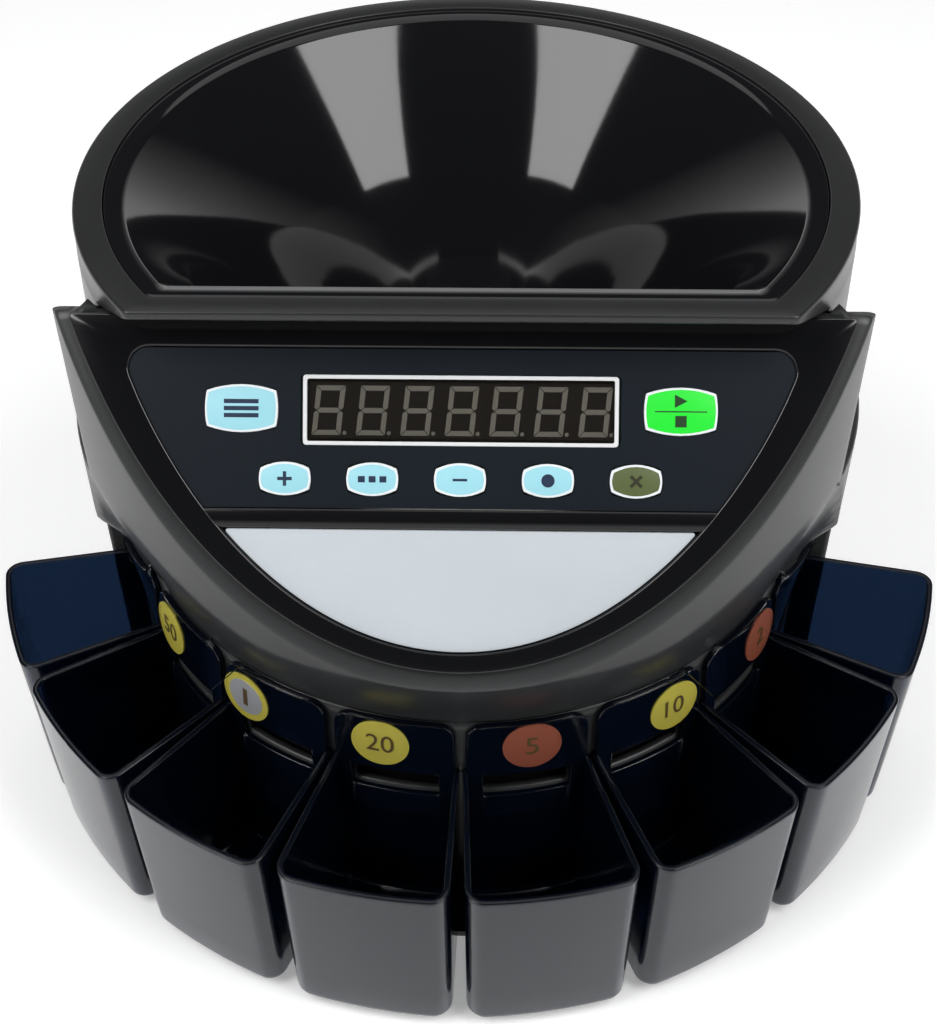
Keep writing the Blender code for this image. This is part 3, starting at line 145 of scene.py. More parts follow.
def mesh_piece(name, points, faces):
    """An object from points and faces, with its faces turned outwards."""
    mesh = bpy.data.meshes.new(name)
    mesh.from_pydata(points.reshape(-1, 3).tolist(), [], faces)
    work = bmesh.new()
    work.from_mesh(mesh)
    bmesh.ops.recalc_face_normals(work, faces=work.faces)
    work.to_mesh(mesh)
    work.free()
    piece = bpy.data.objects.new(name, mesh)
    scene.collection.objects.link(piece)
    return piece


def skin(name, parts, weigh=None, angle=40.0):
    """One piece from several grids: parts are (points[i, j, 3], close_i, close_j, keep). Points that meet are
    merged, and edges above the angle that weigh picks get a bevel weight."""
    points = []
    faces = []
    start = 0
    for grid, close_i, close_j, keep in parts:
        points.append(grid.reshape(-1, 3))
        faces.append(grid_faces(grid.shape[0], grid.shape[1], close_i, close_j, keep, start))
        start += grid.shape[0] * grid.shape[1]
    piece = mesh_piece(name, np.concatenate(points), np.concatenate(faces).tolist())
    work = bmesh.new()
    work.from_mesh(piece.data)
    bmesh.ops.remove_doubles(work, verts=work.verts, dist=2e-6)
    bmesh.ops.dissolve_degenerate(work, edges=work.edges, dist=1e-6)
    bmesh.ops.recalc_face_normals(work, faces=work.faces)
    middle = sum((vert.co for vert in work.verts), Vector()) / len(work.verts)
    if sum(face.calc_area() * face.normal.dot(face.calc_center_median() - middle) for face in work.faces) < 0:
        bmesh.ops.reverse_faces(work, faces=work.faces)
    if weigh:
        weight = work.edges.layers.float.new("bevel_weight_edge")
        for edge in work.edges:
            if len(edge.link_faces) == 2 and edge.calc_face_angle(0) > math.radians(angle):
                edge[weight] = float(weigh(edge.verts[0].co, edge.verts[1].co))
    work.to_mesh(piece.data)
    work.free()
    piece.data.shade_smooth()
    return piece


def dress(piece, material, body, node=None):
    """Gives a piece its finish and its body, and hides the CAD node that it stands for, if any."""
    piece.data.materials.append(material)
    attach(piece, body)
    if node:
        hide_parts(node)


def turned(radius, turn, height):
    """Points at a radius and a turn from the front, round the drum's axis."""
    return np.stack([radius * np.sin(turn), -radius * np.cos(turn) + axis_back, height], -1)


def parabola(first, middle, last, t):
    """Points of a parabola from first to last, drawn towards the middle point."""
    return (1 - t) ** 2 * first + 2 * t * (1 - t) * middle + t ** 2 * last


def add_bevel(piece, width, segments, weighted=False, angle=40.0):
    """Rounds edges by a width: those with a bevel weight, or else those above the angle."""
    step = piece.modifiers.new("rounding", "BEVEL")
    step.width = width
    step.segments = segments
    step.use_clamp_overlap = False
    step.limit_method = "WEIGHT" if weighted else "ANGLE"
    step.angle_limit = math.radians(angle)


def add_wall(piece, thickness):
    """Gives a surface a wall on its inner side."""
    step = piece.modifiers.new("wall", "SOLIDIFY")
    step.thickness = thickness
    step.offset = -1.0
    step.use_even_offset = False


def crisp(piece, angle=35.0):
    """Edges sharper than this angle are shaded as edges, after the other modifiers."""
    piece.data.set_sharp_from_angle(angle=math.radians(angle))


def moulding_group():
    """Fine orange-peel grain, faint smudges and a slight change of tone for moulded plastic."""
    group = bpy.data.node_groups.new("moulding", "ShaderNodeTree")
    face = group.interface
    for label, kind, value in (("Colour", "NodeSocketColor", (0.5, 0.5, 0.5, 1)),
                               ("Roughness", "NodeSocketFloat", 0.3), ("Smudge", "NodeSocketFloat", 0.05),
                               ("Grain", "NodeSocketFloat", 0.05), ("Grain Scale", "NodeSocketFloat", 900.0)):
        socket = face.new_socket(name=label, in_out="INPUT", socket_type=kind)
        socket.default_value = value
    for label, kind in (("Colour", "NodeSocketColor"), ("Roughness", "NodeSocketFloat"),
                        ("Normal", "NodeSocketVector")):
        face.new_socket(name=label, in_out="OUTPUT", socket_type=kind)
    given, result, place, cloud, grain, swing, smear, tone, shade, bump = (
        group.nodes.new(kind) for kind in (
            "NodeGroupInput", "NodeGroupOutput", "ShaderNodeTexCoord", "ShaderNodeTexNoise", "ShaderNodeTexNoise",
            "ShaderNodeMath", "ShaderNodeMath", "ShaderNodeMath", "ShaderNodeVectorMath", "ShaderNodeBump"))
    swing.operation = "SUBTRACT"
    smear.operation = tone.operation = "MULTIPLY_ADD"
    shade.operation = "SCALE"
    for node, label, value in ((cloud, "Scale", 22.0), (cloud, "Detail", 4.0), (grain, "Detail", 2.0),
                               (swing, 1, 0.5), (tone, 1, 0.16), (tone, 2, 1.0), (bump, "Distance", 0.0001)):
        node.inputs[label].default_value = value
    for source, output, target, label in (
            (place, "Object", cloud, "Vector"), (place, "Object", grain, "Vector"),
            (given, "Grain Scale", grain, "Scale"), (cloud, "Fac", swing, 0), (swing, 0, smear, 0),
            (given, "Smudge", smear, 1), (given, "Roughness", smear, 2), (smear, 0, result, "Roughness"),
            (swing, 0, tone, 0), (given, "Colour", shade, 0), (tone, 0, shade, "Scale"),
            (shade, 0, result, "Colour"), (grain, "Fac", bump, "Height"), (given, "Grain", bump, "Strength"),
            (bump, 0, result, "Normal")):
        group.links.new(source.outputs[output], target.inputs[label])
    return group


moulding = moulding_group()


def moulded(name, colour, roughness, smudge=0.05, grain=0.06, grain_scale=900.0, specular=0.5, metallic=0.0):
    """A moulded or coated finish: the moulding group drives colour, roughness and normal."""
    material = bpy.data.materials.new(name)
    material.use_nodes = True
    nodes = material.node_tree.nodes
    shader = nodes["Principled BSDF"]
    group = nodes.new("ShaderNodeGroup")
    group.node_tree = moulding
    for label, value in (("Colour", (*colour, 1)), ("Roughness", roughness), ("Smudge", smudge), ("Grain", grain),
                         ("Grain Scale", grain_scale)):
        group.inputs[label].default_value = value
    for label, target in (("Colour", "Base Color"), ("Roughness", "Roughness"), ("Normal", "Normal")):
        material.node_tree.links.new(group.outputs[label], shader.inputs[target])
    shader.inputs["Specular IOR Level"].default_value = specular
    shader.inputs["Metallic"].default_value = metallic
    return material


drum_radius = 0.1458
waist_radius = 0.1293
lower_radius = 0.1312
lean_bottom = 0.0820
lean_top = 0.1045
flare_bottom = 0.1045
flare_top = 0.142
end_flare = 0.020
upper_draw = math.radians(2.0)
ledge_top = 0.160
ridge_y = -0.0672
ridge_top = 0.2304
console_foot = 0.1398
console_back = -0.0640
console_slope = math.atan2(ridge_top - console_foot, drum_radius + ridge_y)
long_start, long_width = 0.4, 0.5
short_start, short_width, short_by = 1.09, 0.21, 0.046
draw_height = 0.008
bay_half = math.radians(81.3)
bay_end = math.radians(1.2)
end_start = math.radians(60.6)
end_draw = 0.0105
cup_pitch = math.radians(20.2)
cup_turns = (np.arange(8) - 3.5) * cup_pitch


def end_share(turn):
    """How far a turn lies from the outermost cup's inner side, 0, to its outer side, 1."""
    return np.clip((np.abs(turn) - end_start) / (4 * cup_pitch - end_start), 0, 1)


def soft_slope(share):
    """Half a straight slope and half a smooth step."""
    return 0.5 * np.clip(share, 0, 1) + 0.5 * smooth_step(share)


def bay_radius(turn, height):
    """Radius of the cup bay: a low wall that leans in to the narrow waist, and a slope out again that starts and
    ends softly, longer behind the outer cups and short at the bay's two ends."""
    narrow = waist_radius + end_draw * end_share(turn)
    lean = np.clip((lean_top - height) / (lean_top - lean_bottom), 0, 1)
    longer = end_flare * smooth_step((np.abs(turn) - long_start) / long_width)
    shorter = short_by * smooth_step((np.abs(turn) - short_start) / short_width)
    reach = flare_top + longer - shorter - flare_bottom
    flare = soft_slope((height - flare_bottom) / reach)
    return narrow + (lower_radius - narrow) * lean + (drum_radius - narrow) * flare


def drum_wall(turn, height):
    """Radius of the wall: the bay's in front, blended with a smooth step into the drum's own at either end, which
    comes nearer above the cups."""
    rise = smooth_step((height - flare_bottom) / draw_height)
    inside = 1 - smooth_step((np.abs(turn) - bay_half + rise * upper_draw) / bay_end)
    return drum_radius - inside * (drum_radius - bay_radius(turn, height))


def slope_height(y):
    """Height of the console's sloped plane at a place y from the drum's axis, cut level at its ridge."""
    return np.minimum(ridge_top, ridge_top - (-y + ridge_y) * math.tan(console_slope))


def on_wall(turns, heights):
    """Points on the wall for heights[row, column]; the turn is measured from the front."""
    signed = np.where(turns > math.pi, turns - 2 * math.pi, turns)
    return turned(drum_wall(signed, heights), turns, heights)


side_turn = math.acos(-console_back / drum_radius)
ridge_turn = math.acos(-ridge_y / drum_radius)
rear_half = math.asin(0.0335 / drum_radius)
front_turns = np.concatenate([[-side_turn], np.linspace(-ridge_turn, ridge_turn, 181), [side_turn]])
back_turns = np.unique(np.round(np.concatenate([
    np.linspace(side_turn, 2 * math.pi - side_turn, 160),
    np.radians(np.linspace(81.0, 82.8, 10)), 2 * math.pi - np.radians(np.linspace(81.0, 82.8, 10)),
    [math.pi - rear_half, math.pi + rear_half]]), 6))
back_turns[[0, -1]] = side_turn, 2 * math.pi - side_turn
drum_thickness = 0.003
drum_bottom = 0.0073
rear_bottom = 0.0235
rear_top = 0.0605
aim_start = 0.84
part_start = 0.5
low_rows = np.array([drum_bottom, rear_bottom, 0.042, rear_top, 0.072, 0.0845, 0.095, flare_bottom])
lower_rows = 24
upper_rows = 22
shoulder = 0.0014
shoulder_radius = 0.1416

# The front wall rises in one run of rows to a small rounded shoulder. At its two ends, a fixed number of the
# rows lie below the ledge, where the back wall stops.
aim = front_turns + (np.sign(front_turns) * math.pi / 2 - front_turns) * smooth_step(
    (np.abs(front_turns) - aim_start) / (ridge_turn - aim_start))
inwards = np.stack([-np.sin(aim), np.cos(aim)], -1)
corner_flat = drum_radius * np.stack([np.sin(front_turns), -np.cos(front_turns)], -1)
wall_top = slope_height(corner_flat[:, 1])
run_top = wall_top - shoulder
even_share = lower_rows / (lower_rows + upper_rows)
end_part = (ledge_top - flare_bottom) / (ridge_top - shoulder - flare_bottom)
part = even_share + (end_part - even_share) * smooth_step(
    (np.abs(front_turns) - part_start) / (side_turn - part_start))
steps = np.concatenate([part * np.linspace(0, 1, lower_rows + 1)[:, None],
                        part + (1 - part) * np.linspace(0, 1, upper_rows + 1)[1:, None]])
front_heights = flare_bottom + (run_top - flare_bottom) * steps
front_wall = on_wall(front_turns, front_heights)
corner_point = np.concatenate([corner_flat, wall_top[:, None]], 1)
along = np.sum(corner_flat * inwards, -1)
inset_by = -along - np.sqrt(along ** 2 - np.sum(corner_flat ** 2, -1) + shoulder_radius ** 2)
plane_point = corner_flat + inwards * inset_by[:, None]
plane_point = np.concatenate([plane_point, slope_height(plane_point[:, 1:])], 1)
bend = np.linspace(0, 1, 10)[1:, None, None]
shoulder_rows = parabola(front_wall[-1] - [0, axis_back, 0], corner_point, plane_point, bend) + [0, axis_back, 0]
front_grid = np.concatenate([front_wall, shoulder_rows])

back_rows = np.concatenate([low_rows, np.linspace(flare_bottom, ledge_top, lower_rows + 1)[1:]])
back_wall = on_wall(back_turns, np.repeat(back_rows[:, None], len(back_turns), 1))
middle_turn = (back_turns[:-1] + back_turns[1:]) / 2
middle_row = (back_rows[:-1] + back_rows[1:])[:, None] / 2
in_bay = (math.pi - np.abs(middle_turn - math.pi) < bay_half) & (middle_row < flare_bottom)
in_rear = (np.abs(middle_turn - math.pi) < rear_half) & (middle_row > rear_bottom) & (middle_row < rear_top)


def slope_point(x, down):
    """A point of the console's sloped plane at this distance down from the ridge."""
    x, down = np.broadcast_arrays(x, down)
    return np.stack([x, ridge_y - down * math.cos(console_slope) + axis_back,
                     ridge_top - down * math.sin(console_slope)], -1)


inner_radius = 0.1376
inner_top = 0.008
ridge_inner_half = 0.122
inner_corner = math.sqrt(inner_radius ** 2 - (-ridge_y + inner_top * math.cos(console_slope)) ** 2)
slope_turns = front_turns[1:-1]
inner_x = np.clip(inner_radius * np.sin(slope_turns), -inner_corner, inner_corner)
inner_down = np.maximum((inner_radius * np.cos(slope_turns) + ridge_y) / math.cos(console_slope), inner_top)
across = np.linspace(-1, 1, 61)
ridge_half = front_grid[-1, -2, 0]
back_half = front_grid[-1, -1, 0]
ridge_line = slope_point(across * ridge_half, 0)
ridge_inner = slope_point(np.clip(across * ridge_half, -inner_corner, inner_corner), inner_top)
back_line = np.stack([across * back_half, np.full(61, console_back + axis_back), np.full(61, ridge_top)], -1)
side_column = front_grid[lower_rows:, -1]
back_plate = np.stack([side_column[:, :1] * across, np.full((len(side_column), 61), console_back + axis_back),
                       np.repeat(side_column[:, 2:], 61, 1)], -1)
bore_radius = 0.131
bore_front = -0.061
bore_turn = math.acos(-bore_front / bore_radius)
share = (back_turns - side_turn) / (2 * math.pi - 2 * side_turn)
bore_turns = bore_turn + (2 * math.pi - 2 * bore_turn) * share
bore_edge = turned(bore_radius, bore_turns, np.full(len(back_turns), ledge_top))
bore_half = bore_radius * math.sin(bore_turn)
bore_chord = np.stack([across * bore_half, np.full(61, bore_front + axis_back), np.full(61, ledge_top)], -1)


def is_rounded(a, b):
    """Whether the edge from a to b is one of the ledge's or the ridge's that get a rounding."""
    low, high = min(a.z, b.z), max(a.z, b.z)
    on_ledge = low > ledge_top - 0.002 and high < ledge_top + 0.001 and math.hypot(a.x, a.y - axis_back) > 0.08
    return on_ledge or (low > ridge_top - 0.0001 and max(abs(a.x), abs(b.x)) < ridge_inner_half)


drum = skin("drum_shell_skin", [
    (front_grid, False, False, None),
    (back_wall, False, False, ~(in_bay | in_rear)),
    (np.stack([front_grid[-1, 1:-1], slope_point(inner_x, inner_down)]), False, False, None),
    (np.stack([ridge_line, ridge_inner]), False, False, None),
    (np.stack([back_line, ridge_line]), False, False, None),
    (back_plate, False, False, None),
    (np.stack([back_wall[-1], bore_edge]), False, False, None),
    (np.stack([back_plate[0], bore_chord]), False, False, None),
], weigh=is_rounded, angle=25.0)
add_bevel(drum, 0.0011, 3, weighted=True)
add_wall(drum, drum_thickness)
black_gloss = moulded("drum_black", (0.030, 0.031, 0.032), 0.34, smudge=0.05, grain=0.05, grain_scale=500.0,
                      specular=0.4)
dress(drum, black_gloss, "housing", "drum_shell")


# Cup bay: a separate liner of the same plastic, let into the housing below the flare. It runs
# straight up behind the cups, then leans in under the waist; each cup has its coin exit in it.
exit_bottom = 0.0690
exit_top = 0.0805
exit_width_half = 0.0155
exit_half = math.asin(exit_width_half / lower_radius)
liner_half = math.radians(81.2)
liner_turns = np.unique(np.round(np.concatenate([
    np.linspace(-liner_half, liner_half, 200), cup_turns - exit_half, cup_turns + exit_half]), 6))
liner_rows = np.concatenate([[drum_bottom, 0.03, 0.05, exit_bottom, exit_top], np.linspace(lean_bottom, 0.1042, 6)])
liner_grid = turned(bay_radius(liner_turns[None], liner_rows[:, None]), liner_turns,
                    np.repeat(liner_rows[:, None], len(liner_turns), 1))
liner_middle = (liner_turns[:-1] + liner_turns[1:]) / 2
level = (liner_rows[:-1] + liner_rows[1:])[:, None] / 2
in_exit = (np.abs(liner_middle[:, None] - cup_turns) < exit_half).any(1)
in_exit = in_exit & (level > exit_bottom) & (level < exit_top)
liner = skin("exit_wall_skin", [(liner_grid, False, False, ~in_exit)])
add_wall(liner, drum_thickness)
dress(liner, black_gloss, "housing", "exit_wall")


# Base: a flat moulded tray that closes the drum and carries the cups, on four rubber feet.
black_satin = moulded("base_black", (0.016, 0.016, 0.018), 0.42, grain=0.25, grain_scale=1400.0)
rubber = moulded("foot_rubber", (0.018, 0.018, 0.018), 0.85, grain=0.5, grain_scale=2200.0, specular=0.3)


def repaint(node, material):
    """Gives a CAD node a finished material in place of its plain one."""
    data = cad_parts[node].data
    data.materials.clear()
    data.materials.append(material)


repaint("base_plate", black_satin)
for number in range(1, 5):
    repaint(f"foot_{number}", rubber)


# Works inside the drum: sorting deck, chutes, gear drive, motor, boards and transformer.
white_resin = moulded("disc_white", (0.62, 0.62, 0.58), 0.38, grain=0.15)
plated_steel = moulded("plated_steel", (0.55, 0.56, 0.58), 0.30, metallic=1.0, grain=0.1)
turned_brass = moulded("turned_brass", (0.62, 0.46, 0.20), 0.30, metallic=1.0, grain=0.1)
board_green = moulded("board_green", (0.02, 0.12, 0.06), 0.45, grain=0.2)
winding = moulded("winding_tape", (0.50, 0.38, 0.10), 0.55, grain=0.4)
for node, material in (("sorting_deck", black_satin), ("chute_ring", black_satin), ("coin_disc", white_resin),
                       ("disc_gear", white_resin), ("shaft_bush", turned_brass), ("motor_pinion", turned_brass),
                       ("motor", plated_steel), ("motor_stand", plated_steel), ("main_board", board_green),
                       ("key_board", board_green), ("transformer", winding)):
    repaint(node, material)


# Rear: a satin panel with the mains inlet and the power switch.
panel_satin = moulded("rear_panel_black", (0.022, 0.022, 0.024), 0.45, grain=0.2)
switch_black = moulded("switch_black", (0.012, 0.012, 0.012), 0.35, grain=0.1)
rocker_red = moulded("rocker_red", (0.50, 0.03, 0.02), 0.30, grain=0.05)
for node, material in (("rear_panel", panel_satin), ("mains_inlet", switch_black), ("switch_frame", switch_black),
                       ("power_rocker", rocker_red)):
    repaint(node, material)


# Console face: a gloss black frame snapped over the slope, with two openings in it.
def slope_frame(points):
    """Turns points given as (across, down the slope, out of the face) into world points."""
    across, down, out = points[..., 0], points[..., 1], points[..., 2]
    cos, sin = math.cos(console_slope), math.sin(console_slope)
    return np.stack([across, ridge_y - down * cos - out * sin + axis_back, ridge_top - down * sin + out * cos], -1)


def face_half(down, radius, centre=0.0):
    """Half width of the sloped face at a distance down it, inside a round plan radius about a centre in front of
    the drum's axis."""
    depth = -ridge_y - centre + down * math.cos(console_slope)
    return np.sqrt(np.maximum(radius ** 2 - depth ** 2, 0))


def fillet(points, radii, steps=8):
    """Rounds the corners of a closed flat outline: each corner becomes an arc of its own radius."""
    points = np.asarray(points, float)
    result = []
    for index in range(len(points)):
        here = points[index]
        radius = radii[index]
        if radius <= 0:
            result.append(here[None])
            continue
        before = points[index - 1] - here
        after = points[(index + 1) % len(points)] - here
        before = before / np.linalg.norm(before)
        after = after / np.linalg.norm(after)
        half = math.acos(np.clip(before @ after, -1, 1)) / 2
        middle = here + (before + after) / np.linalg.norm(before + after) * radius / math.sin(half)
        first = here + before * radius / math.tan(half) - middle
        last = here + after * radius / math.tan(half) - middle
        sweep = math.atan2(first[0] * last[1] - first[1] * last[0], first @ last)
        turn = np.linspace(0, sweep, steps + 1)
        result.append(middle + np.stack([first[0] * np.cos(turn) - first[1] * np.sin(turn),
                                         first[0] * np.sin(turn) + first[1] * np.cos(turn)], -1))
    return np.concatenate(result)


def face_outline(radius, top, corner, centre=0.0):
    """Outline of a plate on the slope: a straight top, and sides that follow the round wall down to its foot."""
    low = (radius + centre + ridge_y) / math.cos(console_slope)
    down = top + (low - top) * np.sin(np.linspace(0, math.pi / 2, 49)[1:-1])
    down = down[(down > top + 2.2 * corner) & (down < low)]
    right = [(float(face_half(top, radius, centre)), top, corner)]
    right += [(float(x), float(d), 0) for x, d in zip(face_half(down, radius, centre), down)]
    loop = np.array(right + [(0.0, low, 0)] + [(-x, d, r) for x, d, r in right[::-1]])
    return fillet(loop[:, :2], loop[:, 2])


def inset(outline, distance):
    """Moves each point of a closed outline inwards by a distance, along the mean normal of its two edges."""
    before = outline - np.roll(outline, 1, 0)
    after = np.roll(outline, -1, 0) - outline
    before = before / np.linalg.norm(before, axis=1, keepdims=True)
    after = after / np.linalg.norm(after, axis=1, keepdims=True)
    tangent = before + after
    tangent = tangent / np.linalg.norm(tangent, axis=1, keepdims=True)
    normal = np.stack([-tangent[:, 1], tangent[:, 0]], -1)
    area = np.sum(outline[:, 0] * np.roll(outline[:, 1], -1) - np.roll(outline[:, 0], -1) * outline[:, 1])
    stretch = 1 / np.maximum(np.sum(normal * np.stack([-after[:, 1], after[:, 0]], -1), 1), 0.5)
    return outline + normal * (distance * stretch * (1 if area > 0 else -1))[:, None]


def resample(outline, count):
    """The same closed outline as this many points at even steps round it."""
    closed = np.concatenate([outline, outline[:1]])
    length = np.concatenate([[0], np.cumsum(np.linalg.norm(np.diff(closed, axis=0), axis=1))])
    where = np.linspace(0, length[-1], count + 1)[:-1]
    return np.stack([np.interp(where, length, closed[:, 0]), np.interp(where, length, closed[:, 1])], -1)


def lift(outline, out):
    return np.concatenate([outline, np.full((len(outline), 1), out)], 1)


def plate_rings(outline, low, high, edge, steps=4):
    """Rings of a flat plate with a rounded top edge: up the side, over a quarter circle, and in to the middle."""
    turn = np.linspace(0, math.pi / 2, steps + 1)
    rings = [lift(outline, low)]
    for t in turn:
        rings.append(lift(inset(outline, edge * (1 - math.cos(t))), high - edge + edge * math.sin(t)))
    return rings


def plate(name, outline, low, high, edge, place, body, node, material, steps=4):
    """A flat closed plate with a rounded top edge. Its top and bottom are single faces."""
    rings = np.stack(plate_rings(outline, low, high, edge, steps))
    count = rings.shape[1]
    faces = grid_faces(rings.shape[0], count, False, True).tolist()
    faces.append(list(range(count))[::-1])
    faces.append(list(range((rings.shape[0] - 1) * count, rings.shape[0] * count)))
    piece = mesh_piece(name, place(rings), faces)
    piece.data.polygons.foreach_set("use_smooth", [True] * (len(faces) - 2) + [False, False])
    crisp(piece, 50)
    dress(piece, material, body, node)


frame_radius = 0.1417
fascia_radius = 0.1244
fascia_centre = 0.0132
overlay_top = 0.0108
overlay_foot = 0.0617
crescent_top = 0.0678
seat = 0.0003
bezel_low = seat
bezel_high = 0.0028
outer = resample(face_outline(frame_radius, 0.0004, 0.001), 480)
whole = resample(face_outline(fascia_radius, overlay_top, 0.0065, fascia_centre), 480)
match = np.argmin(np.linalg.norm(whole - outer[0], axis=1))
whole = np.roll(whole, -match, 0)


def frame_ring(outside, inside, low, high, outer_edge, inner_edge, steps):
    """A frame between two outlines of as many points, with its two top edges rounded by their own widths."""
    bend = np.linspace(0, math.pi / 2, steps)
    rings = [lift(outside, low)]
    rings += [lift(inset(outside, outer_edge * (1 - math.cos(t))), high - outer_edge * (1 - math.sin(t)))
              for t in bend]
    rings += [lift(inset(inside, -inner_edge * (1 - math.sin(t))), high - inner_edge * (1 - math.cos(t)))
              for t in bend]
    return slope_frame(np.stack(rings + [lift(inside, low)]))


bezel_ring = frame_ring(outer, whole, bezel_low, bezel_high, 0.0006, 0.0009, 5)
band_down = np.array([overlay_foot, overlay_foot, overlay_foot + 0.0006, crescent_top - 0.0006, crescent_top,
                      crescent_top])
band_out = np.array([bezel_low, bezel_high - 0.0006, bezel_high - 0.0001, bezel_high - 0.0001,
                     bezel_high - 0.0006, bezel_low])
reach = face_half(0.0646, fascia_radius + 0.002, fascia_centre)
band = np.stack([np.stack([np.full(6, x), band_down, band_out], -1) for x in np.linspace(-reach, reach, 9)])
bezel = skin("console_bezel_frame", [(bezel_ring, True, True, None), (slope_frame(band), False, True, None)])
crisp(bezel, 50)
bezel_black = moulded("bezel_black", (0.005, 0.0052, 0.006), 0.13, smudge=0.06, grain=0.05)
dress(bezel, bezel_black, "housing", "console_bezel")

overlay_slate = moulded("overlay_slate", (0.0065, 0.0100, 0.0150), 0.38, smudge=0.04, grain=0.08,
                        grain_scale=1600.0, specular=0.25)
repaint("keypad_overlay", overlay_slate)

pale = moulded("crescent_pale", (0.53, 0.575, 0.61), 0.42, smudge=0.03, grain=0.08)
crescent_outline = face_outline(fascia_radius - seat, crescent_top + seat, 0.0008, fascia_centre)
plate("crescent_panel", crescent_outline, seat, 0.0015, 0.0003, slope_frame, "housing", "crescent_plate", pale)

# Display: a white frame round a smoked window. Behind it a dark module carries seven unlit
# seven-segment digits, each with its decimal point, leaning a little to the right.
display_middle = 0.0304
white_frame = moulded("display_frame_white", (0.74, 0.75, 0.76), 0.42, smudge=0.03, grain=0.10, grain_scale=1500.0)


def rounded_box(width, depth, corner):
    """A rectangle about the display's middle, with four equal rounded corners."""
    box = np.array([(-1, -1), (1, -1), (1, 1), (-1, 1)]) * [width / 2, depth / 2] + [0, display_middle]
    return fillet(box, [corner] * 4, 6)


frame_outside = rounded_box(0.0997, 0.0222, 0.0011)
frame_inside = rounded_box(0.0971, 0.0197, 0.0006)
display_ring = frame_ring(frame_outside, frame_inside, 0.0008, 0.0023, 0.0003, 0.0002, 4)
display_rim = skin("display_frame_rim", [(display_ring, True, True, None)])
crisp(display_rim, 50)
dress(display_rim, white_frame, "housing", "display_frame")

smoke = moulded("display_window_smoke", (0.010, 0.008, 0.006), 0.12, smudge=0.02, grain=0.0)
smoke.node_tree.nodes["Principled BSDF"].inputs["Alpha"].default_value = 0.35
plate("display_window_pane", rounded_box(0.0969, 0.0195, 0.0005), 0.0009, 0.0017, 0.0001, slope_frame, "housing",
      "display_window", smoke)
module_dark = moulded("display_module_dark", (0.016, 0.012, 0.008), 0.55, grain=0.1)
repaint("display_module", module_dark)

digit_width = 0.0092
digit_height = 0.0157
digit_pitch = 0.01408
digit_lean = 0.107
bar = 0.0016
split = 0.00016


def segment_outlines():
    """The seven bars of a digit: two trapezoids above and below, four side bars and a pointed middle bar."""
    w, h, t, s = digit_width, digit_height, bar, split
    top = np.array([(s, h), (w - s, h), (w - s - t, h - t), (s + t, h - t)])
    side = np.array([(0, h - s), (t, h - s - t), (t, h / 2 + t / 2 + s), (t / 2, h / 2 + s), (0, h / 2 + t / 2)])
    middle = np.array([(t / 2 + s, h / 2), (t + s, h / 2 + t / 2), (w - t - s, h / 2 + t / 2),
                       (w - t / 2 - s, h / 2), (w - t - s, h / 2 - t / 2), (t + s, h / 2 - t / 2)])
    below = [0, h] + top * [1, -1]
    right_side = [w, 0] + side * [-1, 1]
    around = np.linspace(0, 2 * math.pi, 17)[:-1]
    round_point = np.stack([np.cos(around), np.sin(around)], -1) * 0.00065 + [0.0104, 0.0007]
    return [top, below, side, right_side, [0, h] + side * [1, -1], [w, h] + side * [-1, -1], middle, round_point]


digit_points = []
digit_faces = []
for digit in range(7):
    for bar_outline in segment_outlines():
        bar_x = -0.0473 + digit * digit_pitch + bar_outline[:, 0] + digit_lean * bar_outline[:, 1]
        bar_down = display_middle + 0.0079 - bar_outline[:, 1]
        count = len(bar_outline)
        start = sum(map(len, digit_points))
        bar_out = np.repeat([0.00035, 0.0006], count)
        digit_points.append(np.stack([np.tile(bar_x, 2), np.tile(bar_down, 2), bar_out], -1))
        digit_faces += grid_faces(2, count, False, True, None, start).tolist()
        digit_faces += [list(range(start, start + count)), list(range(start + count, start + 2 * count))]
digits = mesh_piece("display_digits", slope_frame(np.concatenate(digit_points)), digit_faces)
dress(digits, moulded("digit_unlit", (0.55, 0.53, 0.44), 0.6, grain=0.1), "housing")


# Keys: seven barrel-shaped caps of soft-touch plastic. Each stands proud of the overlay,
# has a white rim and a plain printed sign, and presses in on its own.
def key_outline(width, depth, bow=0.0019, side_bow=0.0006, corner=0.0006):
    """A barrel: top and bottom bow out as parabolas, the sides a little, with rounded corners."""
    x = width / 2 - side_bow
    y = depth / 2 - bow
    s = np.linspace(-1, 1, 9)[:-1]
    loop = np.concatenate([np.stack([x * s, -y - bow * (1 - s * s)], -1),
                           np.stack([x + side_bow * (1 - s * s), y * s], -1),
                           np.stack([-x * s, y + bow * (1 - s * s)], -1),
                           np.stack([-x - side_bow * (1 - s * s), -y * s], -1)])
    radii = np.where(np.arange(len(loop)) % 8 == 0, corner, 0)
    return fillet(loop, radii, 5)


key_colours = {"blue": (0.33, 0.67, 0.76), "green": (0.010, 0.78, 0.03), "olive": (0.09, 0.115, 0.036)}
legend_colours = {"blue": (0.008, 0.022, 0.060), "green": (0.002, 0.040, 0.002), "olive": (0.020, 0.022, 0.004)}
rim_white = moulded("key_rim_white", (0.80, 0.84, 0.86), 0.42)
key_paint = {name: moulded(f"key_{name}", colour, 0.44, smudge=0.03, grain=0.15, grain_scale=1500.0)
             for name, colour in key_colours.items()}
key_ink = {name: moulded(f"legend_{name}", colour, 0.5) for name, colour in legend_colours.items()}
key_low = -0.0025
key_top = 0.0026
key_rim = 0.0014
ink = 0.00003


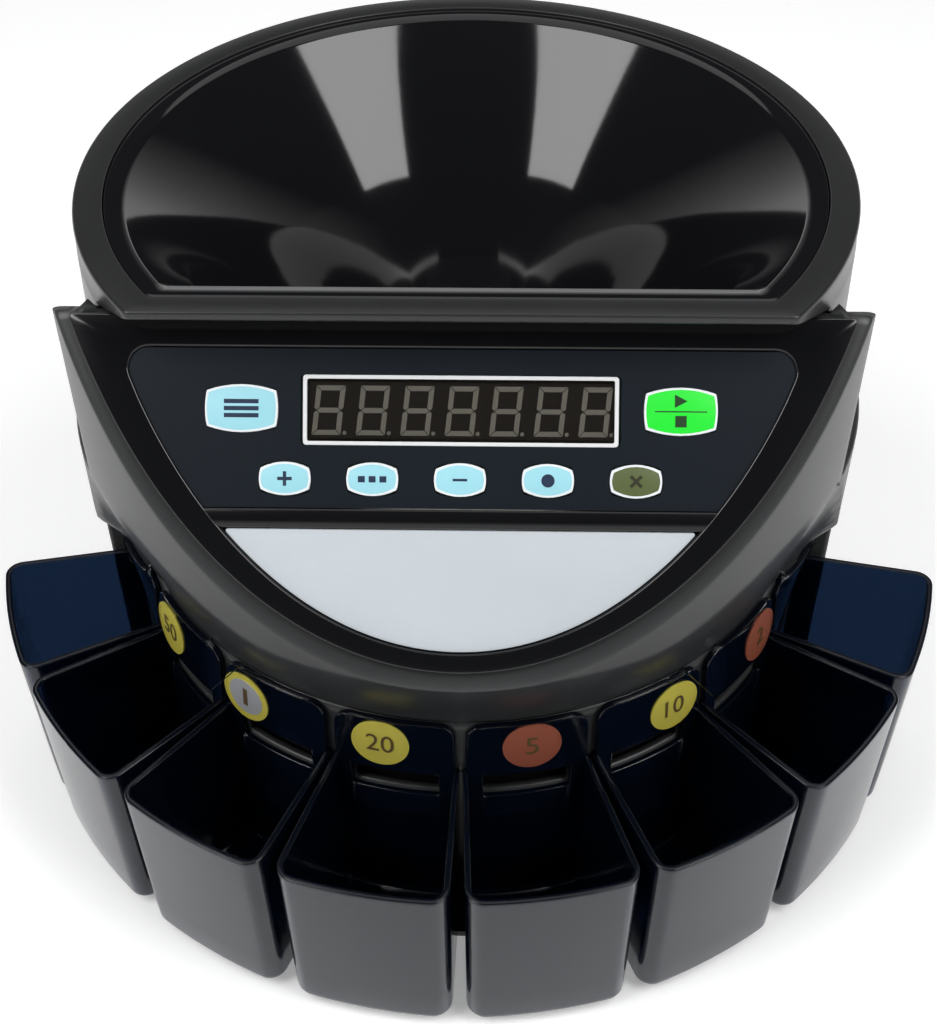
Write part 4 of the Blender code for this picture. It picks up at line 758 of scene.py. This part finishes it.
def printed_text(name, words, width, height, place, body, material, bold=0.0):
    """A sign or a number in the built-in face, made a mesh, scaled to a width and height and laid on a surface."""
    data = bpy.data.curves.new(name, "FONT")
    data.body = words
    data.offset = bold
    data.resolution_u = 4
    source = bpy.data.objects.new(name + "_source", data)
    scene.collection.objects.link(source)
    mesh = bpy.data.meshes.new_from_object(source)
    bpy.data.objects.remove(source)
    mesh.name = name
    flat = np.zeros(len(mesh.vertices) * 3)
    mesh.vertices.foreach_get("co", flat)
    flat = flat.reshape(-1, 3)[:, :2]
    span = flat.max(0) - flat.min(0)
    flat = (flat - (flat.max(0) + flat.min(0)) / 2) / span * [width, height]
    mesh.vertices.foreach_set("co", place(flat[:, 0], flat[:, 1]).ravel())
    mesh.update()
    piece = bpy.data.objects.new(name, mesh)
    scene.collection.objects.link(piece)
    dress(piece, material, body)


small = (0.0165, 0.0107)
big = (0.0232, 0.0152)
for node, across_at, down_at, size, colour, legends in (
        ("key_report", -0.0693, 0.0301, big, "blue", (("≡", 0.0110, 0.0058, 0.0),)),
        ("key_start_stop", 0.0693, 0.0301, big, "green",
         (("▶", 0.0040, 0.0042, 0.0033), ("■", 0.0036, 0.0036, -0.0031))),
        ("key_plus", -0.0555, 0.0522, small, "blue", (("+", 0.0046, 0.0046, 0.0),)),
        ("key_batch", -0.02775, 0.0522, small, "blue", (("■ ■ ■", 0.0090, 0.0020, 0.0),)),
        ("key_minus", 0.0, 0.0522, small, "blue", (("–", 0.0046, 0.0008, 0.0),)),
        ("key_set", 0.02775, 0.0522, small, "blue", (("●", 0.0042, 0.0042, 0.0),)),
        ("key_clear", 0.0555, 0.0522, small, "olive", (("×", 0.0042, 0.0042, 0.0),))):
    outline = key_outline(*size) + [across_at, down_at]
    plate(node + "_cap", outline, key_low, key_top - 0.0001, 0.0003, slope_frame, node, node, rim_white)
    face = key_outline(size[0] - key_rim, size[1] - key_rim, corner=0.0004) + [across_at, down_at]
    plate(node + "_face", face, key_top - 0.0006, key_top, 0.00005, slope_frame, node, None, key_paint[colour],
          2)

    def on_key(x, y, across_at=across_at, down_at=down_at):
        return slope_frame(np.stack([across_at + x, down_at - y, np.full(len(x), key_top + ink)], -1))

    for index, (words, width, height, above) in enumerate(legends):
        printed_text(f"{node}_legend_{index + 1}", words, width, height,
                     lambda x, y, above=above: on_key(x, y + above), node, key_ink[colour], 0.018)
    if len(legends) == 2:
        line = np.array([(-0.0082, -0.0002), (0.0082, -0.0002), (0.0082, 0.0002), (-0.0082, 0.0002)])
        plate(node + "_line", line + [across_at, down_at], key_top - 0.0002, key_top + ink, 0.00001, slope_frame,
              node, None, key_ink[colour], 1)


# Coin cups: eight loose boxes of dark blue-black plastic round the waist, a little clear so
# that their walls show navy against the light. The back of each carries a flap that leans in
# under the waist, with a coin exit below it and a printed coin label on six of them.
cup_front = 0.1869
cup_rim = lean_bottom
cup_wall = 0.0022
cup_gap = 0.0007
cup_back = lower_radius + cup_gap
cup_draft = 0.0023
flap_top = 0.1055
flap_corner = 0.0070
end_corner = 0.0015
end_drop = 0.0035


def cup_outline(front, side_count, front_count):
    """Points round the cup from the left end of its back: a back arc, straight sides and a front arc, with
    rounded corners. Returns the points and the mask of those on the back arc."""
    rear = cup_back * math.sin(cup_pitch / 2) - 0.0005
    wide = front * math.sin(cup_pitch / 2) - 0.0026
    front_turn = math.asin(wide / front)
    heel = 0.0012
    corner = 0.0065
    reach = rear - heel
    corner_start = rear - flap_corner
    back = np.concatenate([np.linspace(-reach, -corner_start, 8), np.linspace(-corner_start, -exit_width_half, 3)[1:],
                           np.linspace(-exit_width_half, exit_width_half, 15)[1:],
                           np.linspace(exit_width_half, corner_start, 3)[1:],
                           np.linspace(corner_start, reach, 8)[1:]])
    back = np.stack([back, np.sqrt(cup_back ** 2 - back ** 2)], -1)
    heel_point = np.array([rear, math.sqrt(cup_back ** 2 - rear ** 2)])
    toe = np.array([wide, math.sqrt(front ** 2 - wide ** 2)])
    side = (toe - heel_point) / np.linalg.norm(toe - heel_point)
    t = np.linspace(0, 1, 6)[1:, None]
    heel_end = heel_point + side * heel
    heel_arc = parabola(back[-1], heel_point, heel_end, t)
    toe_start = toe - side * corner
    turn_end = front_turn - corner / front
    toe_end = np.array([front * math.sin(turn_end), front * math.cos(turn_end)])
    t = np.linspace(0, 1, 14)[1:, None]
    k = 0.55
    toe_arc = ((1 - t) ** 3 * toe_start + 3 * t * (1 - t) ** 2 * (toe_start + (toe - toe_start) * k)
               + 3 * t ** 2 * (1 - t) * (toe_end + (toe - toe_end) * k) + t ** 3 * toe_end)
    run = heel_end + (toe_start - heel_end) * np.linspace(0, 1, side_count + 1)[1:, None]
    half = np.concatenate([heel_arc, run, toe_arc])
    turns = np.linspace(turn_end, -turn_end, front_count + 1)[1:-1]
    arc = np.stack([front * np.sin(turns), front * np.cos(turns)], -1)
    loop = np.concatenate([back, half, arc, half[::-1] * [-1, 1]])
    on_back = np.zeros(len(loop), bool)
    on_back[:len(back)] = True
    return loop, on_back


def round_axis(x, y, z, turn):
    """Turns points made for a cup at the front to that cup's own place round the drum."""
    return np.stack([x * math.cos(turn) + y * math.sin(turn),
                     x * math.sin(turn) - y * math.cos(turn) + axis_back, z], -1)


def flap_grid(x_back, turn):
    """The flap above the rim follows the bay's wall, 0.7 mm off it. Its two top corners are quarter circles; the
    outermost cups' outer corner is nearly sharp, and a little lower."""
    rise = np.concatenate([np.linspace(0, 0.7, 15), [0.75, 0.80, 0.85, 0.89, 0.93, 0.96, 0.98, 0.993, 1.0]])[:, None]
    local = np.arcsin(x_back / cup_back)[None]
    top = flap_top - end_drop * end_share(turn + local)
    height = cup_rim + (top - cup_rim) * rise
    below = top - height
    outer = end_share(turn + np.sign(local) * cup_pitch / 2) > 0.9
    corner = np.where(outer, end_corner, flap_corner)
    pull = corner - np.sqrt(np.maximum(corner ** 2 - np.maximum(corner - below, 0) ** 2, 0))
    half = np.abs(x_back).max()
    edge_part = np.clip((np.abs(x_back) - half + flap_corner) / flap_corner, 0, 1)[None]
    shift = np.where(outer, pull * (np.abs(x_back) / half), pull * edge_part)
    narrower = (bay_radius(turn + local, height) + cup_gap) / cup_back
    x = (x_back - np.sign(x_back) * shift) * narrower
    radius = narrower * cup_back
    return x, np.sqrt(radius ** 2 - x ** 2), height


def build_cup(turn):
    """Rings of the outline from the middle of the floor, out over a rounded lower edge, and up to the rim."""
    columns, on_back = cup_outline(cup_front, 8, 16)
    middle = np.array([0.0, 0.166])
    rings = []
    low = 0.0030
    edge = 0.0050

    def floor_height(points):
        """The floor ramps up over the housing's shelf."""
        return low + (drum_bottom - low) * (1 - smooth_step((np.linalg.norm(points, axis=1) - 0.1507) / 0.010))

    def ring_at(height, shrink):
        front = cup_front - cup_draft * (cup_rim - height) / (cup_rim - low)
        loop = cup_outline(front, 8, 16)[0]
        away = loop - middle
        return loop - away / np.linalg.norm(away, axis=1, keepdims=True) * shrink

    base = ring_at(low, edge)
    for part in (0.0, 0.2, 0.4, 0.55, 0.7, 0.85):
        flat = middle + (base - middle) * part
        rings.append(np.concatenate([flat, floor_height(flat)[:, None]], 1))
    for turn_up in np.linspace(0, math.pi / 2, 7):
        flat = ring_at(low, edge * (1 - math.sin(turn_up)))
        height = floor_height(flat) + edge * (1 - math.cos(turn_up))
        rings.append(np.concatenate([flat, height[:, None]], 1))
    for height in (0.020, 0.040, 0.055, exit_bottom, exit_top, cup_rim):
        flat = ring_at(height, 0)
        rings.append(np.concatenate([flat, np.full((len(flat), 1), height)], 1))
    grid = np.stack(rings)
    middle_x = (columns[:, 0] + np.roll(columns[:, 0], -1, 0)) / 2
    keep = np.ones((grid.shape[0] - 1, grid.shape[1]), bool)
    keep[-2, on_back & np.roll(on_back, -1) & (np.abs(middle_x) < exit_width_half)] = False
    x, y, z = flap_grid(columns[on_back, 0], turn)
    return [(round_axis(grid[..., 0], grid[..., 1], grid[..., 2], turn), False, True, keep),
            (round_axis(x, y, z, turn), False, False, None)]


cup_navy = moulded("cup_navy", (0.0095, 0.0215, 0.053), 0.14, smudge=0.04, grain=0.05, grain_scale=400.0)
cup_shader = cup_navy.node_tree.nodes["Principled BSDF"]
cup_shader.inputs["Transmission Weight"].default_value = 0.9
cup_shader.inputs["IOR"].default_value = 1.42
for number, turn in enumerate(cup_turns, 1):
    cup = skin(f"cup_{number}_shell", build_cup(turn))
    add_wall(cup, cup_wall)
    add_bevel(cup, 0.00045, 2, angle=50.0)
    dress(cup, cup_navy, f"cup_{number}", f"coin_cup_{number}")


def on_flap(across, up, turn, middle, out):
    """A point of a flap's front, measured from a label's middle: round the drum, up, and out of the surface."""
    height = middle + up
    place = turn + across / (lower_radius + cup_wall)
    radius = bay_radius(place, height) + cup_gap + (cup_wall + out) * 1.01
    return turned(radius, place, height)


label_radius = 0.0104
coin_gold, coin_silver, coin_copper = (
    moulded(name, colour, roughness, smudge=0.1, grain=0.6, grain_scale=700.0, metallic=0.35)
    for name, colour, roughness in (("label_gold", (0.80, 0.70, 0.11), 0.38),
                                    ("label_silver", (0.50, 0.51, 0.53), 0.38),
                                    ("label_copper", (0.40, 0.115, 0.065), 0.40)))
coin_ink = moulded("label_ink", (0.10, 0.065, 0.02), 0.5)


def label_disc(name, turn, level, inner, outer, out, body, material):
    """A printed disc or ring on the flap: rings of points from its inner to its outer radius, with a thin rim."""
    around = np.linspace(0, 2 * math.pi, 49)[:-1]
    radii = np.concatenate([np.linspace(inner, outer, 6), [outer, outer]])[:, None]
    lifts = np.concatenate([np.full(6, out), [out - 0.00006, -0.00005]])[:, None]
    points = on_flap(radii * np.cos(around), radii * np.sin(around), turn, level, lifts)
    piece = skin(name, [(points, False, True, None)])
    crisp(piece, 50)
    dress(piece, material, body)


for number, turn, level, words, material, middle in (
        (2, -0.965, 0.0925, ("50", 0.0100), coin_gold, None),
        (3, -0.6198, 0.0923, ("1", 0.0020), coin_gold, coin_silver),
        (4, -0.2114, 0.0942, ("20", 0.0100), coin_gold, None),
        (5, 0.1872, 0.0946, ("5", 0.0046), coin_copper, None),
        (6, 0.6016, 0.0920, ("10", 0.0082), coin_gold, None),
        (7, 0.965, 0.0925, ("2", 0.0048), coin_copper, None)):
    body = f"cup_{number}"
    label_disc(f"cup_{number}_label", turn, level, 0.0, label_radius, 0.00025, body, material)
    label_disc(f"cup_{number}_label_edge", turn, level, label_radius - 0.0008, label_radius, 0.00045, body, material)
    if middle:
        label_disc(f"cup_{number}_label_middle", turn, level, 0.0, label_radius - 0.0026, 0.00036, body, middle)
    printed_text(f"cup_{number}_label_number", *words, 0.0080,
                 lambda x, y, turn=turn, level=level: on_flap(x, y, turn, level, 0.00048), body, coin_ink)


# Hopper: a satin charcoal cover with a D-shaped mouth stands on the drum's ledge; a gloss
# funnel is let into it, parted by a fine groove, and falls to a round throat over the disc.
ring_arc_count = 150
ring_corner_count = 8
ring_front_count = 24


def d_ring(radius, front, corner):
    """A round outline cut straight at the front, its two corners rounded by an arc that touches both."""
    middle_y = front - corner
    middle_x = math.sqrt((radius - corner) ** 2 - middle_y ** 2)
    start = math.atan2(middle_x, middle_y)
    turn = np.linspace(start, 2 * math.pi - start, ring_arc_count)
    arc = np.stack([radius * np.sin(turn), -radius * np.cos(turn)], -1)
    sweep = np.linspace(2 * math.pi - start, 2 * math.pi, ring_corner_count + 1)[1:]
    left = np.stack([-middle_x + corner * np.sin(sweep), -middle_y - corner * np.cos(sweep)], -1)
    line = np.stack([np.linspace(-middle_x, middle_x, ring_front_count + 1)[1:],
                     np.full(ring_front_count, -front)], -1)
    sweep = np.linspace(0, start, ring_corner_count + 1)[1:-1]
    right = np.stack([middle_x + corner * np.sin(sweep), -middle_y - corner * np.cos(sweep)], -1)
    return np.concatenate([arc, left, line, right])


def soften(path, radii, steps=4):
    """Rounds a closed path's corners in all its numbers at once: each becomes a parabola that starts and ends that
    distance from it."""
    result = []
    for index in range(len(path)):
        here = path[index]
        radius = radii[index]
        before = path[index - 1] - here
        after = path[(index + 1) % len(path)] - here
        first = here + before * min(radius / np.linalg.norm(before[:3]), 0.45)
        last = here + after * min(radius / np.linalg.norm(after[:3]), 0.45)
        t = np.linspace(0, 1, steps + 1)[:, None]
        result.append(parabola(first, here, last, t))
    return np.concatenate(result)


def d_rings(profile):
    """Rings for a profile of (radius, front, height, corner radius)."""
    rings = []
    for radius, front, height, corner in profile:
        outline = d_ring(radius, front, corner)
        rings.append(np.concatenate([outline + [0, axis_back], np.full((len(outline), 1), height)], 1))
    return np.stack(rings)


mm = 0.001
cover_profile = np.array([
    (135.0, 63.7, 160.3, 3.0), (133.2, 63.7, 231.5, 3.0), (132.8, 84.7, 240.0, 3.0), (132.8, 84.7, 243.0, 3.0),
    (122.9, 76.0, 243.0, 3.0), (122.9, 76.0, 239.9, 3.0), (120.4, 73.5, 239.9, 3.0), (120.4, 73.5, 238.4, 3.0),
    (130.3, 73.5, 237.9, 3.0), (130.3, 61.2, 229.0, 3.0), (132.5, 61.2, 162.8, 3.0), (128.4, 61.2, 162.8, 3.0),
    (128.4, 58.5, 156.3, 3.0), (130.6, 60.7, 156.3, 3.0), (130.6, 60.7, 160.3, 3.0)]) * mm
cover_radii = np.array([0.6, 3.0, 1.0, 1.2, 0.5, 0.2, 0.2, 0.2, 0.4, 1.5, 0.8, 0.3, 0.3, 0.4, 0.2]) * mm
cover = skin("hopper_cover_shell", [(d_rings(soften(cover_profile, cover_radii)), True, True, None)])
crisp(cover, 50)
charcoal = moulded("cover_charcoal", (0.013, 0.0134, 0.0142), 0.30, smudge=0.06, grain=0.10, grain_scale=1200.0)
dress(cover, charcoal, "hopper", "hopper_cover")

funnel_top = 0.2424
funnel_wall = 0.0022
mouth_radius = 0.1166
mouth_front = 0.0697
mouth_corner = 0.006
throat_top = 0.1520
throat_radius = 0.050
neck_bottom = 0.1340
knee_radius = 0.073
knee_height = 0.190
front_end = math.radians(105)
front_knee = 61.0 / 69.7
front_height = 0.233
knee_share = 0.25
belly_radius = 0.0910
belly_height = 0.2177


def funnel_surface(offset):
    """From the D mouth to the round throat. Each point of the mouth drops along a parabola, ever steeper, to a knee
    and straight on from there to the throat. At the sides and back the knees lie on a circle part way down, at the
    front just under the mouth. offset is the wall's thickness outside."""
    mouth = d_ring(mouth_radius + offset, mouth_front + offset, mouth_corner + offset)
    turn = np.abs(np.arctan2(mouth[:, 0], -mouth[:, 1]))
    corner = math.acos(mouth_front / mouth_radius)
    front = smooth_step((front_end - turn) / (front_end - corner))[:, None]
    outward = mouth / np.linalg.norm(mouth, axis=1, keepdims=True)
    knee = outward * (knee_radius + offset) * (1 - front) + mouth * front_knee * front
    level = knee_height + (front_height - knee_height) * front - offset
    start = np.concatenate([mouth, np.full((len(mouth), 1), funnel_top - offset)], 1)
    knee = np.concatenate([knee, level], 1)
    end = np.concatenate([outward * (throat_radius + offset), np.full((len(mouth), 1), throat_top)], 1)
    belly = np.concatenate([outward * (belly_radius + offset), np.full((len(mouth), 1), belly_height - offset)], 1)
    belly = belly * (1 - front) + (start + knee) / 2 * front
    drop = np.linspace(0, 1, 33)[:, None, None]
    fall = parabola(start, belly, knee, drop)
    below = knee + (end - knee) * knee_share
    bend = np.linspace(0, 1, 10)[1:, None, None]
    grid = np.concatenate([fall[:-3], parabola(fall[-4], knee, below, bend),
                           below + (end - below) * np.linspace(0, 1, 17)[1:, None, None]])
    neck = grid[-1:].copy()
    neck[..., 2] = neck_bottom
    return np.concatenate([grid, neck]) + [0, axis_back, 0]


edge = d_rings(np.array([(122.6, 75.7, 240.2, 3.0), (122.6, 75.7, 241.9, 3.0), (122.45, 75.55, 242.3, 3.0),
                         (122.1, 75.2, 242.4, 3.0)]) * mm)
funnel = skin("hopper_funnel_shell", [(np.concatenate([edge, funnel_surface(0.0), funnel_surface(funnel_wall)[::-1]]),
                                       True, True, None)])
crisp(funnel, 60)
funnel_gloss = moulded("funnel_gloss", (0.006, 0.0062, 0.0072), 0.07, smudge=0.03, grain=0.03, grain_scale=300.0)
dress(funnel, funnel_gloss, "hopper", "hopper_funnel")
